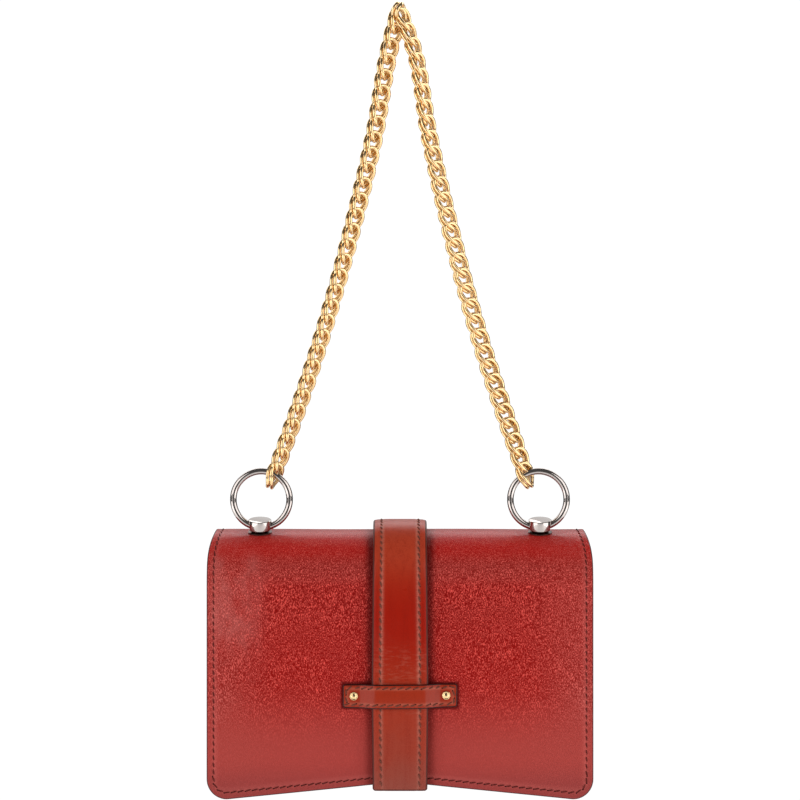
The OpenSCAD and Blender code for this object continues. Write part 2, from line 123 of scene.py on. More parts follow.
class Socket:
    """One output of a shader node that takes part in Python expressions."""

    def __init__(self, graph: "Graph", link: bpy.types.NodeSocket) -> None:
        """Keeps the graph and the output."""
        self.graph = graph
        self.link = link

    def _math(self, operation: str, *values: "Socket | float") -> "Socket":
        """Output of a Math node whose sockets take the values in order."""
        inputs = dict(enumerate(values))
        return self.graph.node("ShaderNodeMath", {"operation": operation}, inputs)

    def __add__(self, other: "Socket | float") -> "Socket":
        """Sum."""
        return self._math("ADD", self, other)

    def __radd__(self, other: float) -> "Socket":
        """Sum, number first."""
        return self._math("ADD", other, self)

    def __sub__(self, other: "Socket | float") -> "Socket":
        """Difference."""
        return self._math("SUBTRACT", self, other)

    def __rsub__(self, other: float) -> "Socket":
        """Difference, number first."""
        return self._math("SUBTRACT", other, self)

    def __mul__(self, other: "Socket | float") -> "Socket":
        """Product."""
        return self._math("MULTIPLY", self, other)

    def __rmul__(self, other: float) -> "Socket":
        """Product, number first."""
        return self._math("MULTIPLY", other, self)

    def __truediv__(self, other: "Socket | float") -> "Socket":
        """Quotient."""
        return self._math("DIVIDE", self, other)

    def abs(self) -> "Socket":
        """Absolute value."""
        return self._math("ABSOLUTE", self)

    def clamped(self) -> "Socket":
        """Value held between 0 and 1."""
        return self._math("MAXIMUM", self._math("MINIMUM", self, 1.0), 0.0)

    def fract(self) -> "Socket":
        """Part after the decimal point."""
        return self._math("FRACT", self)

    def most(self, other: "Socket | float") -> "Socket":
        """Larger of two values."""
        return self._math("MAXIMUM", self, other)

    def step(self, low: float, high: float) -> "Socket":
        """Smooth step from 0 at low to 1 at high, or falling if high is the lower."""
        inputs = {"Value": self, "From Min": low, "From Max": high}
        return self.graph.node("ShaderNodeMapRange", {"interpolation_type": "SMOOTHSTEP"}, inputs)


class Graph:
    """Node graph of one material."""

    def __init__(self, name: str) -> None:
        """Makes an empty material.

        Args:
            name: The material's name.
        """
        self.material = bpy.data.materials.new(name)
        self.material.use_nodes = True
        self.tree = self.material.node_tree
        self.tree.nodes.clear()

    def node(
        self,
        kind: str,
        settings: dict | None = None,
        inputs: dict | None = None,
        output: int | str = 0,
    ) -> Socket:
        """Adds one node, sets it, and fills or links its sockets.

        Args:
            kind: The node's type.
            settings: Properties, set before the sockets.
            inputs: Values or Sockets by socket name or number.
            output: Which output to return.

        Returns:
            The chosen output.
        """
        made = self.tree.nodes.new(kind)
        for key, value in (settings or {}).items():
            setattr(made, key, value)
        for key, value in (inputs or {}).items():
            target = made.inputs[key]
            if isinstance(value, Socket):
                self.tree.links.new(value.link, target)
            elif target.type == "RGBA" and len(value) == 3:
                target.default_value = (*value, 1.0)
            else:
                target.default_value = value
        return Socket(self, made.outputs[output])

    def place(self) -> Socket:
        """Object coordinates, in metres."""
        return self.node("ShaderNodeTexCoord", output="Object")

    def mark(self, name: str) -> Socket:
        """Value that the mesh keeps at its points under a name."""
        return self.node("ShaderNodeAttribute", {"attribute_name": name}, {}, "Fac")

    def parts(self, vector: Socket) -> list[Socket]:
        """Splits a vector into its X, Y and Z."""
        first = self.node("ShaderNodeSeparateXYZ", {}, {0: vector})
        return [Socket(self, out) for out in first.link.node.outputs]

    def stretched(self, vector: Socket, scale: Point, turn: Point = (0, 0, 0)) -> Socket:
        """Coordinates scaled along X, Y and Z, and turned about them by angles in degrees."""
        inputs = {"Vector": vector, "Scale": scale, "Rotation": [math.radians(a) for a in turn]}
        return self.node("ShaderNodeMapping", {}, inputs)

    def noise(self, vector: Socket, scale: float, detail: float, rough: float) -> Socket:
        """Value of a noise texture; detail counts its finer layers, and rough is their strength."""
        inputs = {"Vector": vector, "Scale": scale, "Detail": detail, "Roughness": rough}
        return self.node("ShaderNodeTexNoise", {}, inputs)

    def warped(self, vector: Socket, scale: float, amount: float) -> Socket:
        """Shifts coordinates by a noise.

        Args:
            vector: The coordinates.
            scale: The noise's scale.
            amount: How far it shifts them.

        Returns:
            The shifted coordinates.
        """
        inputs = {"Vector": vector, "Scale": scale, "Detail": 2.0}
        shift = self.node("ShaderNodeTexNoise", {}, inputs, output="Color")
        inputs = {0: shift, 1: (0.5, 0.5, 0.5)}
        centred = self.node("ShaderNodeVectorMath", {"operation": "SUBTRACT"}, inputs)
        inputs = {0: centred, "Scale": amount}
        scaled = self.node("ShaderNodeVectorMath", {"operation": "SCALE"}, inputs)
        return self.node("ShaderNodeVectorMath", {"operation": "ADD"}, {0: vector, 1: scaled})

    def mix(self, share: Socket | float, low: Socket | Point, high: Socket | Point) -> Socket:
        """Mixes two colours.

        Args:
            share: 0 for the first colour, 1 for the second.
            low: The first colour.
            high: The second colour.

        Returns:
            The mixed colour.
        """
        settings = {"data_type": "RGBA", "clamp_factor": True}
        low = low if isinstance(low, Socket) else (*low, 1.0)
        high = high if isinstance(high, Socket) else (*high, 1.0)
        return self.node("ShaderNodeMix", settings, {0: share, 6: low, 7: high}, output=2)

    def bump(self, height: Socket, distance: float, strength: float) -> Socket:
        """Normal bumped by a height from 0 to 1, where 1 stands distance metres high."""
        inputs = {"Height": height, "Distance": distance, "Strength": strength}
        return self.node("ShaderNodeBump", {}, inputs)

    def finish(self, fixed: dict, changing: dict) -> bpy.types.Material:
        """Adds the surface shader and the output.

        Args:
            fixed: Numbers and colours of the shader's sockets.
            changing: Sockets that vary over the surface.

        Returns:
            The material.
        """
        shader = self.node("ShaderNodeBsdfPrincipled", {}, {**fixed, **changing})
        out = self.tree.nodes.new("ShaderNodeOutputMaterial")
        self.tree.links.new(shader.link, out.inputs["Surface"])
        return self.material


def srgb(red: int, green: int, blue: int) -> Point:
    """Turns a screen colour, with channels from 0 to 255, into a linear one."""
    shares = (value / 255 for value in (red, green, blue))
    return tuple(s / 12.92 if s <= 0.04045 else ((s + 0.055) / 1.055) ** 2.4 for s in shares)


@dataclass(frozen=True)
class GrainedLeather:
    """Glazed red leather with a long grain, strongest in the middle of the flap."""

    name: str
    hollow: Point = srgb(112, 0, 0)
    ridge: Point = srgb(242, 90, 80)
    # The next two colours tint the grain with painted sheen towards the sides and under the roll; the first
    # also paints highlights along the stitches.
    pale: Point = srgb(212, 108, 100)
    faded: Point = srgb(146, 46, 40)
    even: Point = srgb(176, 30, 24)
    # Painted light: a brighter, purer red for the roll, where less lamp light reaches it.
    shade: Point = srgb(196, 16, 8)
    # Painted shadow beside the strap and round the keeper, where they press into the leather.
    pressed: Point = srgb(92, 4, 3)
    # Painted sheen on the lower part of the flap.
    dull: Point = srgb(164, 64, 58)
    scuffed: Point = srgb(190, 112, 106)
    # Painted shade across the middle of the flap.
    rich: Point = srgb(150, 12, 8)
    ashy: Point = srgb(136, 56, 54)

    def material(self) -> bpy.types.Material:
        """Builds the material.

        Returns:
            The material.
        """
        g = Graph(self.name)
        at = g.place()
        side, back, low = (part / MM for part in g.parts(at))
        across = side.abs()
        front = back.step(0.0, -12.0)
        outer = g.mark("outer")
        sides = across.step(58.0, 96.0)
        foot = low.step(-352.0, -392.0)
        head = low.step(-295.0, -284.0)

        # Grain: fine pebbles between veins, both longer up and down than across.
        waves = g.noise(at, 30.0, 4.0, 0.6)
        long = g.stretched(at, (1.0, 1.0, 0.4))
        fine = g.noise(long, 3100.0, 0.0, 0.6)
        veins = [1 - (g.noise(long, scale, 1.0, 0.5) - 0.5).abs() * 13 for scale in (1700.0, 2200.0)]
        lines = veins[0].most(veins[1]).clamped()
        grain = (lines * (fine * 1.8 - 0.4) + (fine - 0.53) * 2.5).clamped()
        strong = (1 - sides * 0.15) * (1 - foot * 0.56) * (1 - head * 0.1)
        strong = (strong + (waves - 0.5) * 0.25).clamped()
        speckled = g.mix(grain, self.hollow, self.ridge)
        body = g.mix(strong * 0.66 + 0.16, self.even, speckled)

        # Painted sheen, paler towards the sides and in the band under the roll; painted light, a purer red
        # on the roll itself.
        cloud = ((waves - 0.42) * 2.4).clamped()
        wear_and_sheen = g.mix(grain, self.faded, self.pale)
        band = low.step(-285.0, -290.0) * low.step(-306.0, -298.0)
        body = g.mix((sides * (0.45 + cloud * 0.45)).most(band * 0.32), body, wear_and_sheen)
        # Painted light on the roll: a brighter, purer red where less lamp light reaches it.
        body = g.mix(head * (0.62 - grain * 0.5), body, self.shade)

        # Painted shade, a deeper red across the middle of the flap; painted sheen, duller towards its lower
        # edge.
        deep = low.step(-314.0, -340.0) * low.step(-378.0, -358.0) * across.step(92.0, 62.0)
        body = g.mix(deep * (0.42 - grain * 0.36), body, self.rich)
        body = g.mix(foot * 0.85, body, self.dull)
        # Ashier along the lowest edge.
        body = g.mix(low.step(-392.0, -412.0) * 0.7, body, self.ashy)

        # The rubbed place on the flap's left.
        rubbed = g.noise(g.stretched(at, (1.3, 1.0, 0.7), (0, 30, 0)), 75.0, 5.0, 0.62)
        left = side.step(-64.0, -82.0) * low.step(-348.0, -326.0) * low.step(-284.0, -294.0)
        left = left * front * outer
        body = g.mix(left * ((rubbed - 0.44) * 3.6).clamped() * 0.36, body, self.scuffed)

        # Painted shadow: dark lines beside the strap and round the keeper, where they press into the
        # leather.
        rear = back.step(8.0, 24.0)
        strap_shadow = outer * across.step(19.5, 15.0) * (1 - low.step(-282.0, -277.0) * 0.6)
        strap_shadow = strap_shadow * (1 - rear * low.step(-365.0, -368.0))
        body = g.mix(strap_shadow * (0.85 - foot * 0.4) * (1 - grain * 0.3), body, self.pressed)
        # Painted shadow round the keeper.
        gap = (across - 29.6).most((low + 360.8).abs() - 6.2)
        under = outer * gap.step(1.7, 0.2) * front
        body = g.mix(under * 0.85, body, self.pressed)
        # Painted highlights on the lips along the stitches.
        body = g.mix(g.mark("seam") * 0.22, body, self.pale)

        fixed = {"Specular IOR Level": 0.08, "Coat Roughness": 0.24}
        changing = {
            "Base Color": body,
            "Roughness": 0.4 - strong * 0.04 + foot * 0.06 + (waves - 0.5) * 0.1 - head * 0.04,
            "Coat Weight": (0.03 + head * 0.25 + strong * 0.02) * (1 - strap_shadow * 0.9),
            "Normal": g.bump(grain * (0.25 + strong * 0.75), 0.00014, 0.8),
        }
        return g.finish(fixed, changing)


@dataclass(frozen=True)
class SmoothLeather:
    """Smooth glazed leather with a pull-up shade, painted light on its crown and painted highlights on the
    lips along its stitches.
    """

    name: str
    deep: Point = srgb(150, 22, 4)
    warm: Point = srgb(158, 48, 26)
    pale: Point = srgb(144, 63, 49)
    # Painted highlight on the lips of the stitches, also the pale of the creases round the keeper.
    lip: Point = srgb(192, 128, 108)
    ashy: Point = srgb(134, 76, 66)
    # Painted light on the crown over the roll, where less lamp light reaches the strap.
    crown: Point = srgb(190, 70, 44)
    deep_z: float = -320.0

    def material(self) -> bpy.types.Material:
        """Builds the material.

        Returns:
            The material.
        """
        g = Graph(self.name)
        at = g.place()
        z = g.parts(at)[2] / MM
        deep_z = self.deep_z
        cloudy = g.noise(at, 60.0, 4.0, 0.6)
        pores = g.noise(at, 1700.0, 3.0, 0.65)
        strokes = g.noise(g.stretched(at, (1.0, 1.0, 0.08)), 420.0, 3.0, 0.6)
        creases = g.noise(g.stretched(g.warped(at, 120.0, 0.002), (0.2, 1.0, 1.0)), 1100.0, 3.0, 0.6)

        # Deep red in a band, painted light brighter on the crown over the roll, paler and ashy towards the
        # end.
        glow = z.step(deep_z + 42, deep_z) * z.step(deep_z - 44, deep_z - 6)
        body = g.mix(glow, self.warm, self.deep)
        head = z.step(-306.0, -280.0)
        # Painted light on the crown over the roll.
        body = g.mix(head * 0.62, body, self.crown)
        wear_and_sheen = z.step(deep_z - 30, deep_z - 90)
        body = g.mix((wear_and_sheen * 0.8 + (cloudy - 0.5) * 0.8).clamped(), body, self.pale)
        body = g.mix(z.step(deep_z - 70, deep_z - 92) * 0.5, body, self.ashy)

        # Pores and strokes, the creases round the keeper, and painted highlights on the lips of the
        # stitches.
        darker = tuple(c * 0.62 for c in self.deep)
        body = g.mix(((pores - 0.46) * 1.5 + (strokes - 0.5) * 0.9).clamped(), body, darker)
        folded = z.step(deep_z - 10, deep_z - 22) * z.step(deep_z - 56, deep_z - 44)
        body = g.mix(folded * ((creases - 0.5) * 3).clamped() * 0.22, body, self.lip)
        seam = g.mark("seam")
        # Painted highlights on the lips of the stitches.
        body = g.mix(seam * (creases * 0.9 - 0.1).clamped() * (1 - wear_and_sheen * 0.6), body, self.lip)

        fixed = {"Specular IOR Level": 0.15, "Coat Roughness": 0.2}
        changing = {
            "Base Color": body,
            "Roughness": 0.3 + (cloudy - 0.5) * 0.12 + seam * 0.08,
            "Coat Weight": (0.08 + (cloudy - 0.5) * 0.16) * (1 - head * 0.5),
            "Normal": g.bump(creases * 0.6 + pores * 0.25, 0.00008, 0.6),
        }
        return g.finish(fixed, changing)


@dataclass(frozen=True)
class PaintedEdge:
    """Edge paint on cut leather, slightly uneven."""

    name: str
    colour: Point

    def material(self) -> bpy.types.Material:
        """Builds the material.

        Returns:
            The material.
        """
        g = Graph(self.name)
        at = g.place()
        uneven = g.noise(at, 900.0, 3.0, 0.6)
        darker = tuple(c * 0.55 for c in self.colour)
        changing = {
            "Base Color": g.mix(uneven, darker, self.colour),
            "Roughness": 0.42 + (uneven - 0.5) * 0.2,
            "Normal": g.bump(uneven, 0.00008, 0.6),
        }
        return g.finish({"Specular IOR Level": 0.22}, changing)


@dataclass(frozen=True)
class Metal:
    """Polished or satin metal with faint hairlines and smudges."""

    name: str
    colour: Point
    rough: float
    hairlines: float

    def material(self) -> bpy.types.Material:
        """Builds the material.

        Returns:
            The material.
        """
        g = Graph(self.name)
        at = g.place()
        smudge = g.noise(at, 160.0, 3.0, 0.6)
        hair = g.noise(g.stretched(at, (0.1, 1.0, 1.0), (0, 20, 35)), 5200.0, 2.0, 0.6)
        dull = tuple(c * 0.86 for c in self.colour)
        changing = {
            "Base Color": g.mix((smudge * 1.6 - 0.5).clamped(), self.colour, dull),
            "Roughness": self.rough + (smudge - 0.4) * 0.08 + (hair - 0.5) * self.hairlines,
            "Normal": g.bump(hair, 0.000002, 0.3),
        }
        return g.finish({"Metallic": 1.0}, changing)


@dataclass(frozen=True)
class Twill:
    """Tight diagonal cloth of the lining."""

    name: str
    dark: Point = srgb(62, 40, 30)
    light: Point = srgb(104, 74, 56)
    rib_w: float = 0.9

    def material(self) -> bpy.types.Material:
        """Builds the material.

        Returns:
            The material.
        """
        g = Graph(self.name)
        at = g.place()
        x, y, z = g.parts(at)
        run = x + y * 0.6 + z
        rib = ((run / (self.rib_w * MM)).fract() - 0.5).abs() * 2
        threads = g.noise(g.stretched(at, (1.0, 1.0, 0.4)), 2400.0, 2.0, 0.5)
        wear_and_sheen = g.noise(at, 40.0, 3.0, 0.5)
        share = (rib * 0.6 + threads * 0.5 + (wear_and_sheen - 0.5) * 0.4).clamped()
        changing = {
            "Base Color": g.mix(share, self.dark, self.light),
            "Roughness": 0.8 + (threads - 0.5) * 0.2,
            "Normal": g.bump(rib * 0.7 + threads * 0.3, 0.0002, 0.7),
        }
        return g.finish({"Sheen Weight": 0.25}, changing)


@dataclass(frozen=True)
class Thread:
    """Waxed sewing thread, or the painted shade of a needle hole."""

    name: str
    colour: Point
    rough: float = 0.6

    def material(self) -> bpy.types.Material:
        """Builds the material.

        Returns:
            The material.
        """
        g = Graph(self.name)
        at = g.place()
        ply = g.noise(at, 5200.0, 2.0, 0.6)
        darker = tuple(c * 0.5 for c in self.colour)
        changing = {
            "Base Color": g.mix(ply, darker, self.colour),
            "Roughness": self.rough + (ply - 0.5) * 0.1,
            "Normal": g.bump(ply, 0.00005, 0.8),
        }
        return g.finish({"Specular IOR Level": 0.15}, changing)


@dataclass(frozen=True)
class Paper:
    """Plain surface of the floor and the cards, which may glow."""

    name: str
    colour: Point = (0.95, 0.95, 0.95)
    glow: float = 0.45

    def material(self) -> bpy.types.Material:
        """Builds the material.

        Returns:
            The material.
        """
        g = Graph(self.name)
        fibres = g.noise(g.place(), 3.0, 2.0, 0.5)
        fixed = {"Emission Color": (1.0, 1.0, 1.0), "Emission Strength": self.glow, "Roughness": 0.9}
        tone = g.mix(fibres, self.colour, tuple(c * 0.99 for c in self.colour))
        return g.finish(fixed, {"Base Color": tone})


class Wardrobe:
    """Every finish of the bag, built once."""

    def __init__(self) -> None:
        """Builds the materials."""
        self.red = GrainedLeather("red leather").material()
        self.strap = SmoothLeather("strap leather").material()
        self.keeper = SmoothLeather(
            "keeper leather",
            deep=srgb(152, 44, 22),
            warm=srgb(156, 54, 32),
            pale=srgb(154, 58, 38),
            # Painted highlight on the lips of the keeper's stitches.
            lip=srgb(190, 112, 90),
            deep_z=-360.0,
        ).material()
        self.dark_edge = PaintedEdge("dark edge paint", srgb(86, 30, 32)).material()
        self.brown_edge = PaintedEdge("brown edge paint", srgb(92, 30, 20)).material()
        self.black_edge = PaintedEdge("keeper edge paint", srgb(56, 16, 14)).material()
        self.gold = Metal("gold", srgb(247, 212, 158), 0.17, 0.0).material()
        self.silver = Metal("silver", srgb(190, 181, 176), 0.06, 0.01).material()
        self.snap = Metal("snap metal", srgb(206, 176, 120), 0.24, 0.06).material()
        self.dark_steel = Metal("dark steel", srgb(88, 62, 56), 0.32, 0.05).material()
        self.lining = Twill("lining").material()
        self.dark_thread = Thread("dark thread", srgb(98, 24, 18)).material()
        self.tan_thread = Thread("tan thread", srgb(124, 66, 52)).material()
        # Painted shade in the needle holes.
        self.hole = Thread("needle hole", srgb(60, 14, 11), 0.9).material()
        self.paper = Paper("pale floor").material()
        self.black = Paper("black card", (0.01, 0.01, 0.01), 0.0).material()
        self.backdrop = Paper("backdrop", (0.02, 0.02, 0.02), 0.85).material()


def held(share: float) -> float:
    """Share held between 0 and 1."""
    return min(max(share, 0.0), 1.0)


def smooth(share: float) -> float:
    """Share from 0 to 1, eased at both ends."""
    return share * share * (3 - 2 * share)


def bell(value: float, middle: float, width: float) -> float:
    """Bell curve that is 1 at its middle and 0.37 at its width from there."""
    return math.exp(-((value - middle) / width) ** 2)


def mirrored(shares: Sequence[float]) -> list[float]:
    """Shares on both sides of the middle, in order."""
    return sorted({round(side.value * share, 5) for side in Side for share in shares})


def dress(piece: bpy.types.Object, slot: Slot, rides: Rides, *nodes: str) -> None:
    """Hides the CAD nodes that a finished piece replaces, and sets the piece on what it moves with.

    Args:
        piece: The piece.
        slot: Its material slot; not used.
        rides: What it moves with. A piece on the fold, which lies over both the bag and the flap, is baked
            in place and set on no body.
        nodes: The CAD nodes that it replaces, if any.
    """
    if nodes:
        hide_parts(*nodes)
    if rides is Rides.FOLD:
        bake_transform(piece)
    else:
        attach(piece, rides.value)


def to_object(name: str, mesh: bpy.types.Mesh) -> bpy.types.Object:
    """Links a mesh to the scene as an object.

    Args:
        name: The object's name.
        mesh: Its mesh.

    Returns:
        The object.
    """
    made = bpy.data.objects.new(name, mesh)
    bpy.context.scene.collection.objects.link(made)
    return made


def mesh_from(
    name: str,
    points: np.ndarray,
    faces: Sequence[Sequence[int]],
    slots: Sequence[int] | None = None,
    materials: Sequence[bpy.types.Material] = (),
    marks: Sequence[float] | None = None,
) -> bpy.types.Object:
    """Makes a smooth-shaded object from points in millimetres, with its faces turned outwards.

    Args:
        name: The object's name.
        points: Its points.
        faces: Its faces, as indices.
        slots: The material slot of each face.
        materials: Its materials.
        marks: Nearness to a seam at each point, from 0 to 1.

    Returns:
        The object.
    """
    mesh = bpy.data.meshes.new(name)
    mesh.from_pydata((np.asarray(points) * MM).tolist(), [], [list(f) for f in faces])
    if marks is not None:
        layer = mesh.attributes.new("seam", "FLOAT", "POINT")
        layer.data.foreach_set("value", np.asarray(marks, np.float32))
    for material in materials:
        mesh.materials.append(material)
    if slots is not None:
        mesh.polygons.foreach_set("material_index", np.asarray(slots, np.int32))
    work = bmesh.new()
    work.from_mesh(mesh)
    bmesh.ops.remove_doubles(work, verts=work.verts, dist=MERGE * MM)
    bmesh.ops.recalc_face_normals(work, faces=work.faces)
    work.to_mesh(mesh)
    work.free()
    mesh.polygons.foreach_set("use_smooth", np.ones(len(mesh.polygons), bool))
    mesh.update()
    return to_object(name, mesh)


def lathe(
    name: str,
    profile: Sequence[tuple[float, float]],
    frame: Matrix,
    material: bpy.types.Material,
    turns: int,
) -> bpy.types.Object:
    """Turns a closed profile of radius and height about the Z axis of a frame.

    Args:
        name: The object's name.
        profile: Its radii and heights, in millimetres.
        frame: Where the axis lies, in millimetres.
        material: Its material.
        turns: Number of faces round it.

    Returns:
        The object.
    """
    points, faces = [], []
    count = len(profile)
    for i in range(turns):
        a = 2 * math.pi * i / turns
        for r, h in profile:
            points.append(frame @ Vector((r * math.cos(a), r * math.sin(a), h)))
    for i in range(turns):
        k = (i + 1) % turns
        for j in range(count):
            n = (j + 1) % count
            if profile[j][0] == 0 and profile[n][0] == 0:
                continue
            faces.append((i * count + j, k * count + j, k * count + n, i * count + n))
    return mesh_from(name, np.array(points), faces, None, [material])


def join(pieces: Sequence[bpy.types.Object], name: str) -> bpy.types.Object:
    """Joins meshes at the origin into one object.

    Args:
        pieces: The objects, which are removed.
        name: The new object's name.

    Returns:
        The joined object.
    """
    work = bmesh.new()
    materials: list[bpy.types.Material] = []
    for piece in pieces:
        for material in piece.data.materials:
            if material not in materials:
                materials.append(material)
        first = len(work.faces)
        work.from_mesh(piece.data)
        work.faces.ensure_lookup_table()
        for face in work.faces[first:]:
            face.material_index = materials.index(piece.data.materials[face.material_index])
        bpy.data.objects.remove(piece)
    mesh = bpy.data.meshes.new(name)
    work.to_mesh(mesh)
    work.free()
    for material in materials:
        mesh.materials.append(material)
    return to_object(name, mesh)


@dataclass
class Panel:
    """Sheet of leather or cloth with two faces and a rounded rim, laid over any surface.

    The place function takes u and v as shares of the sheet, an inset from its outline and a depth
    below its outer face, in millimetres, and gives a point.
    """

    name: str
    place: PlaceFn
    columns: Sequence[float]
    rows: Sequence[float]
    thickness: ShareFn | float
    rim: float
    rim_steps: int = 3
    seam: ShareFn | None = None

    def thick_at(self, u: float, v: float) -> float:
        """Thickness at a place."""
        return self.thickness(u, v) if callable(self.thickness) else self.thickness

    def build(self, *materials: bpy.types.Material) -> bpy.types.Object:
        """Builds the sheet.

        Args:
            materials: Its outer face, rim and inner face.

        Returns:
            The object.
        """
        nu, nv = len(self.columns), len(self.rows)
        points: list[np.ndarray] = []
        marks: list[float] = []
        faces: list[tuple[int, ...]] = []
        slots: list[int] = []

        grids: list[list[list[int]]] = []
        for face_depth in (0.0, 1.0):
            grid = []
            for v in self.rows:
                line = []
                for u in self.columns:
                    points.append(self.place(u, v, self.rim, face_depth * self.thick_at(u, v)))
                    marks.append(self.seam(u, v) if self.seam else 0.0)
                    line.append(len(points) - 1)
                grid.append(line)
            grids.append(grid)
        outer, inner = grids
        for grid, slot in ((outer, 0), (inner, 2)):
            for j in range(nv - 1):
                for i in range(nu - 1):
                    quad = (grid[j][i], grid[j][i + 1], grid[j + 1][i + 1], grid[j + 1][i])
                    faces.append(quad if slot == 0 else quad[::-1])
                    slots.append(slot)
        around = (
            [(i, 0) for i in range(nu - 1)]
            + [(nu - 1, j) for j in range(nv - 1)]
            + [(i, nv - 1) for i in range(nu - 1, 0, -1)]
            + [(0, j) for j in range(nv - 1, 0, -1)]
        )
        rings = [[outer[j][i] for i, j in around]]
        angles = [math.pi / 2 * k / self.rim_steps for k in range(1, self.rim_steps + 1)]
        for side, order in ((0, angles), (1, angles[::-1])):
            for a in order:
                ring = []
                for i, j in around:
                    u, v = self.columns[i], self.rows[j]
                    t = self.thick_at(u, v)
                    r = min(self.rim, t * 0.49)
                    inset = self.rim * (1 - math.sin(a))
                    depth = r * (1 - math.cos(a))
                    points.append(self.place(u, v, inset, depth if side == 0 else t - depth))
                    marks.append(0.0)
                    ring.append(len(points) - 1)
                rings.append(ring)
        rings.append([inner[j][i] for i, j in around])
        total = len(around)
        for k in range(len(rings) - 1):
            for n in range(total):
                m = (n + 1) % total
                faces.append((rings[k][n], rings[k + 1][n], rings[k + 1][m], rings[k][m]))
                slots.append(1)
        made = mesh_from(self.name, np.array(points), faces, slots, materials, marks)
        LOG.info("%s: %d faces", self.name, len(made.data.polygons))
        return made


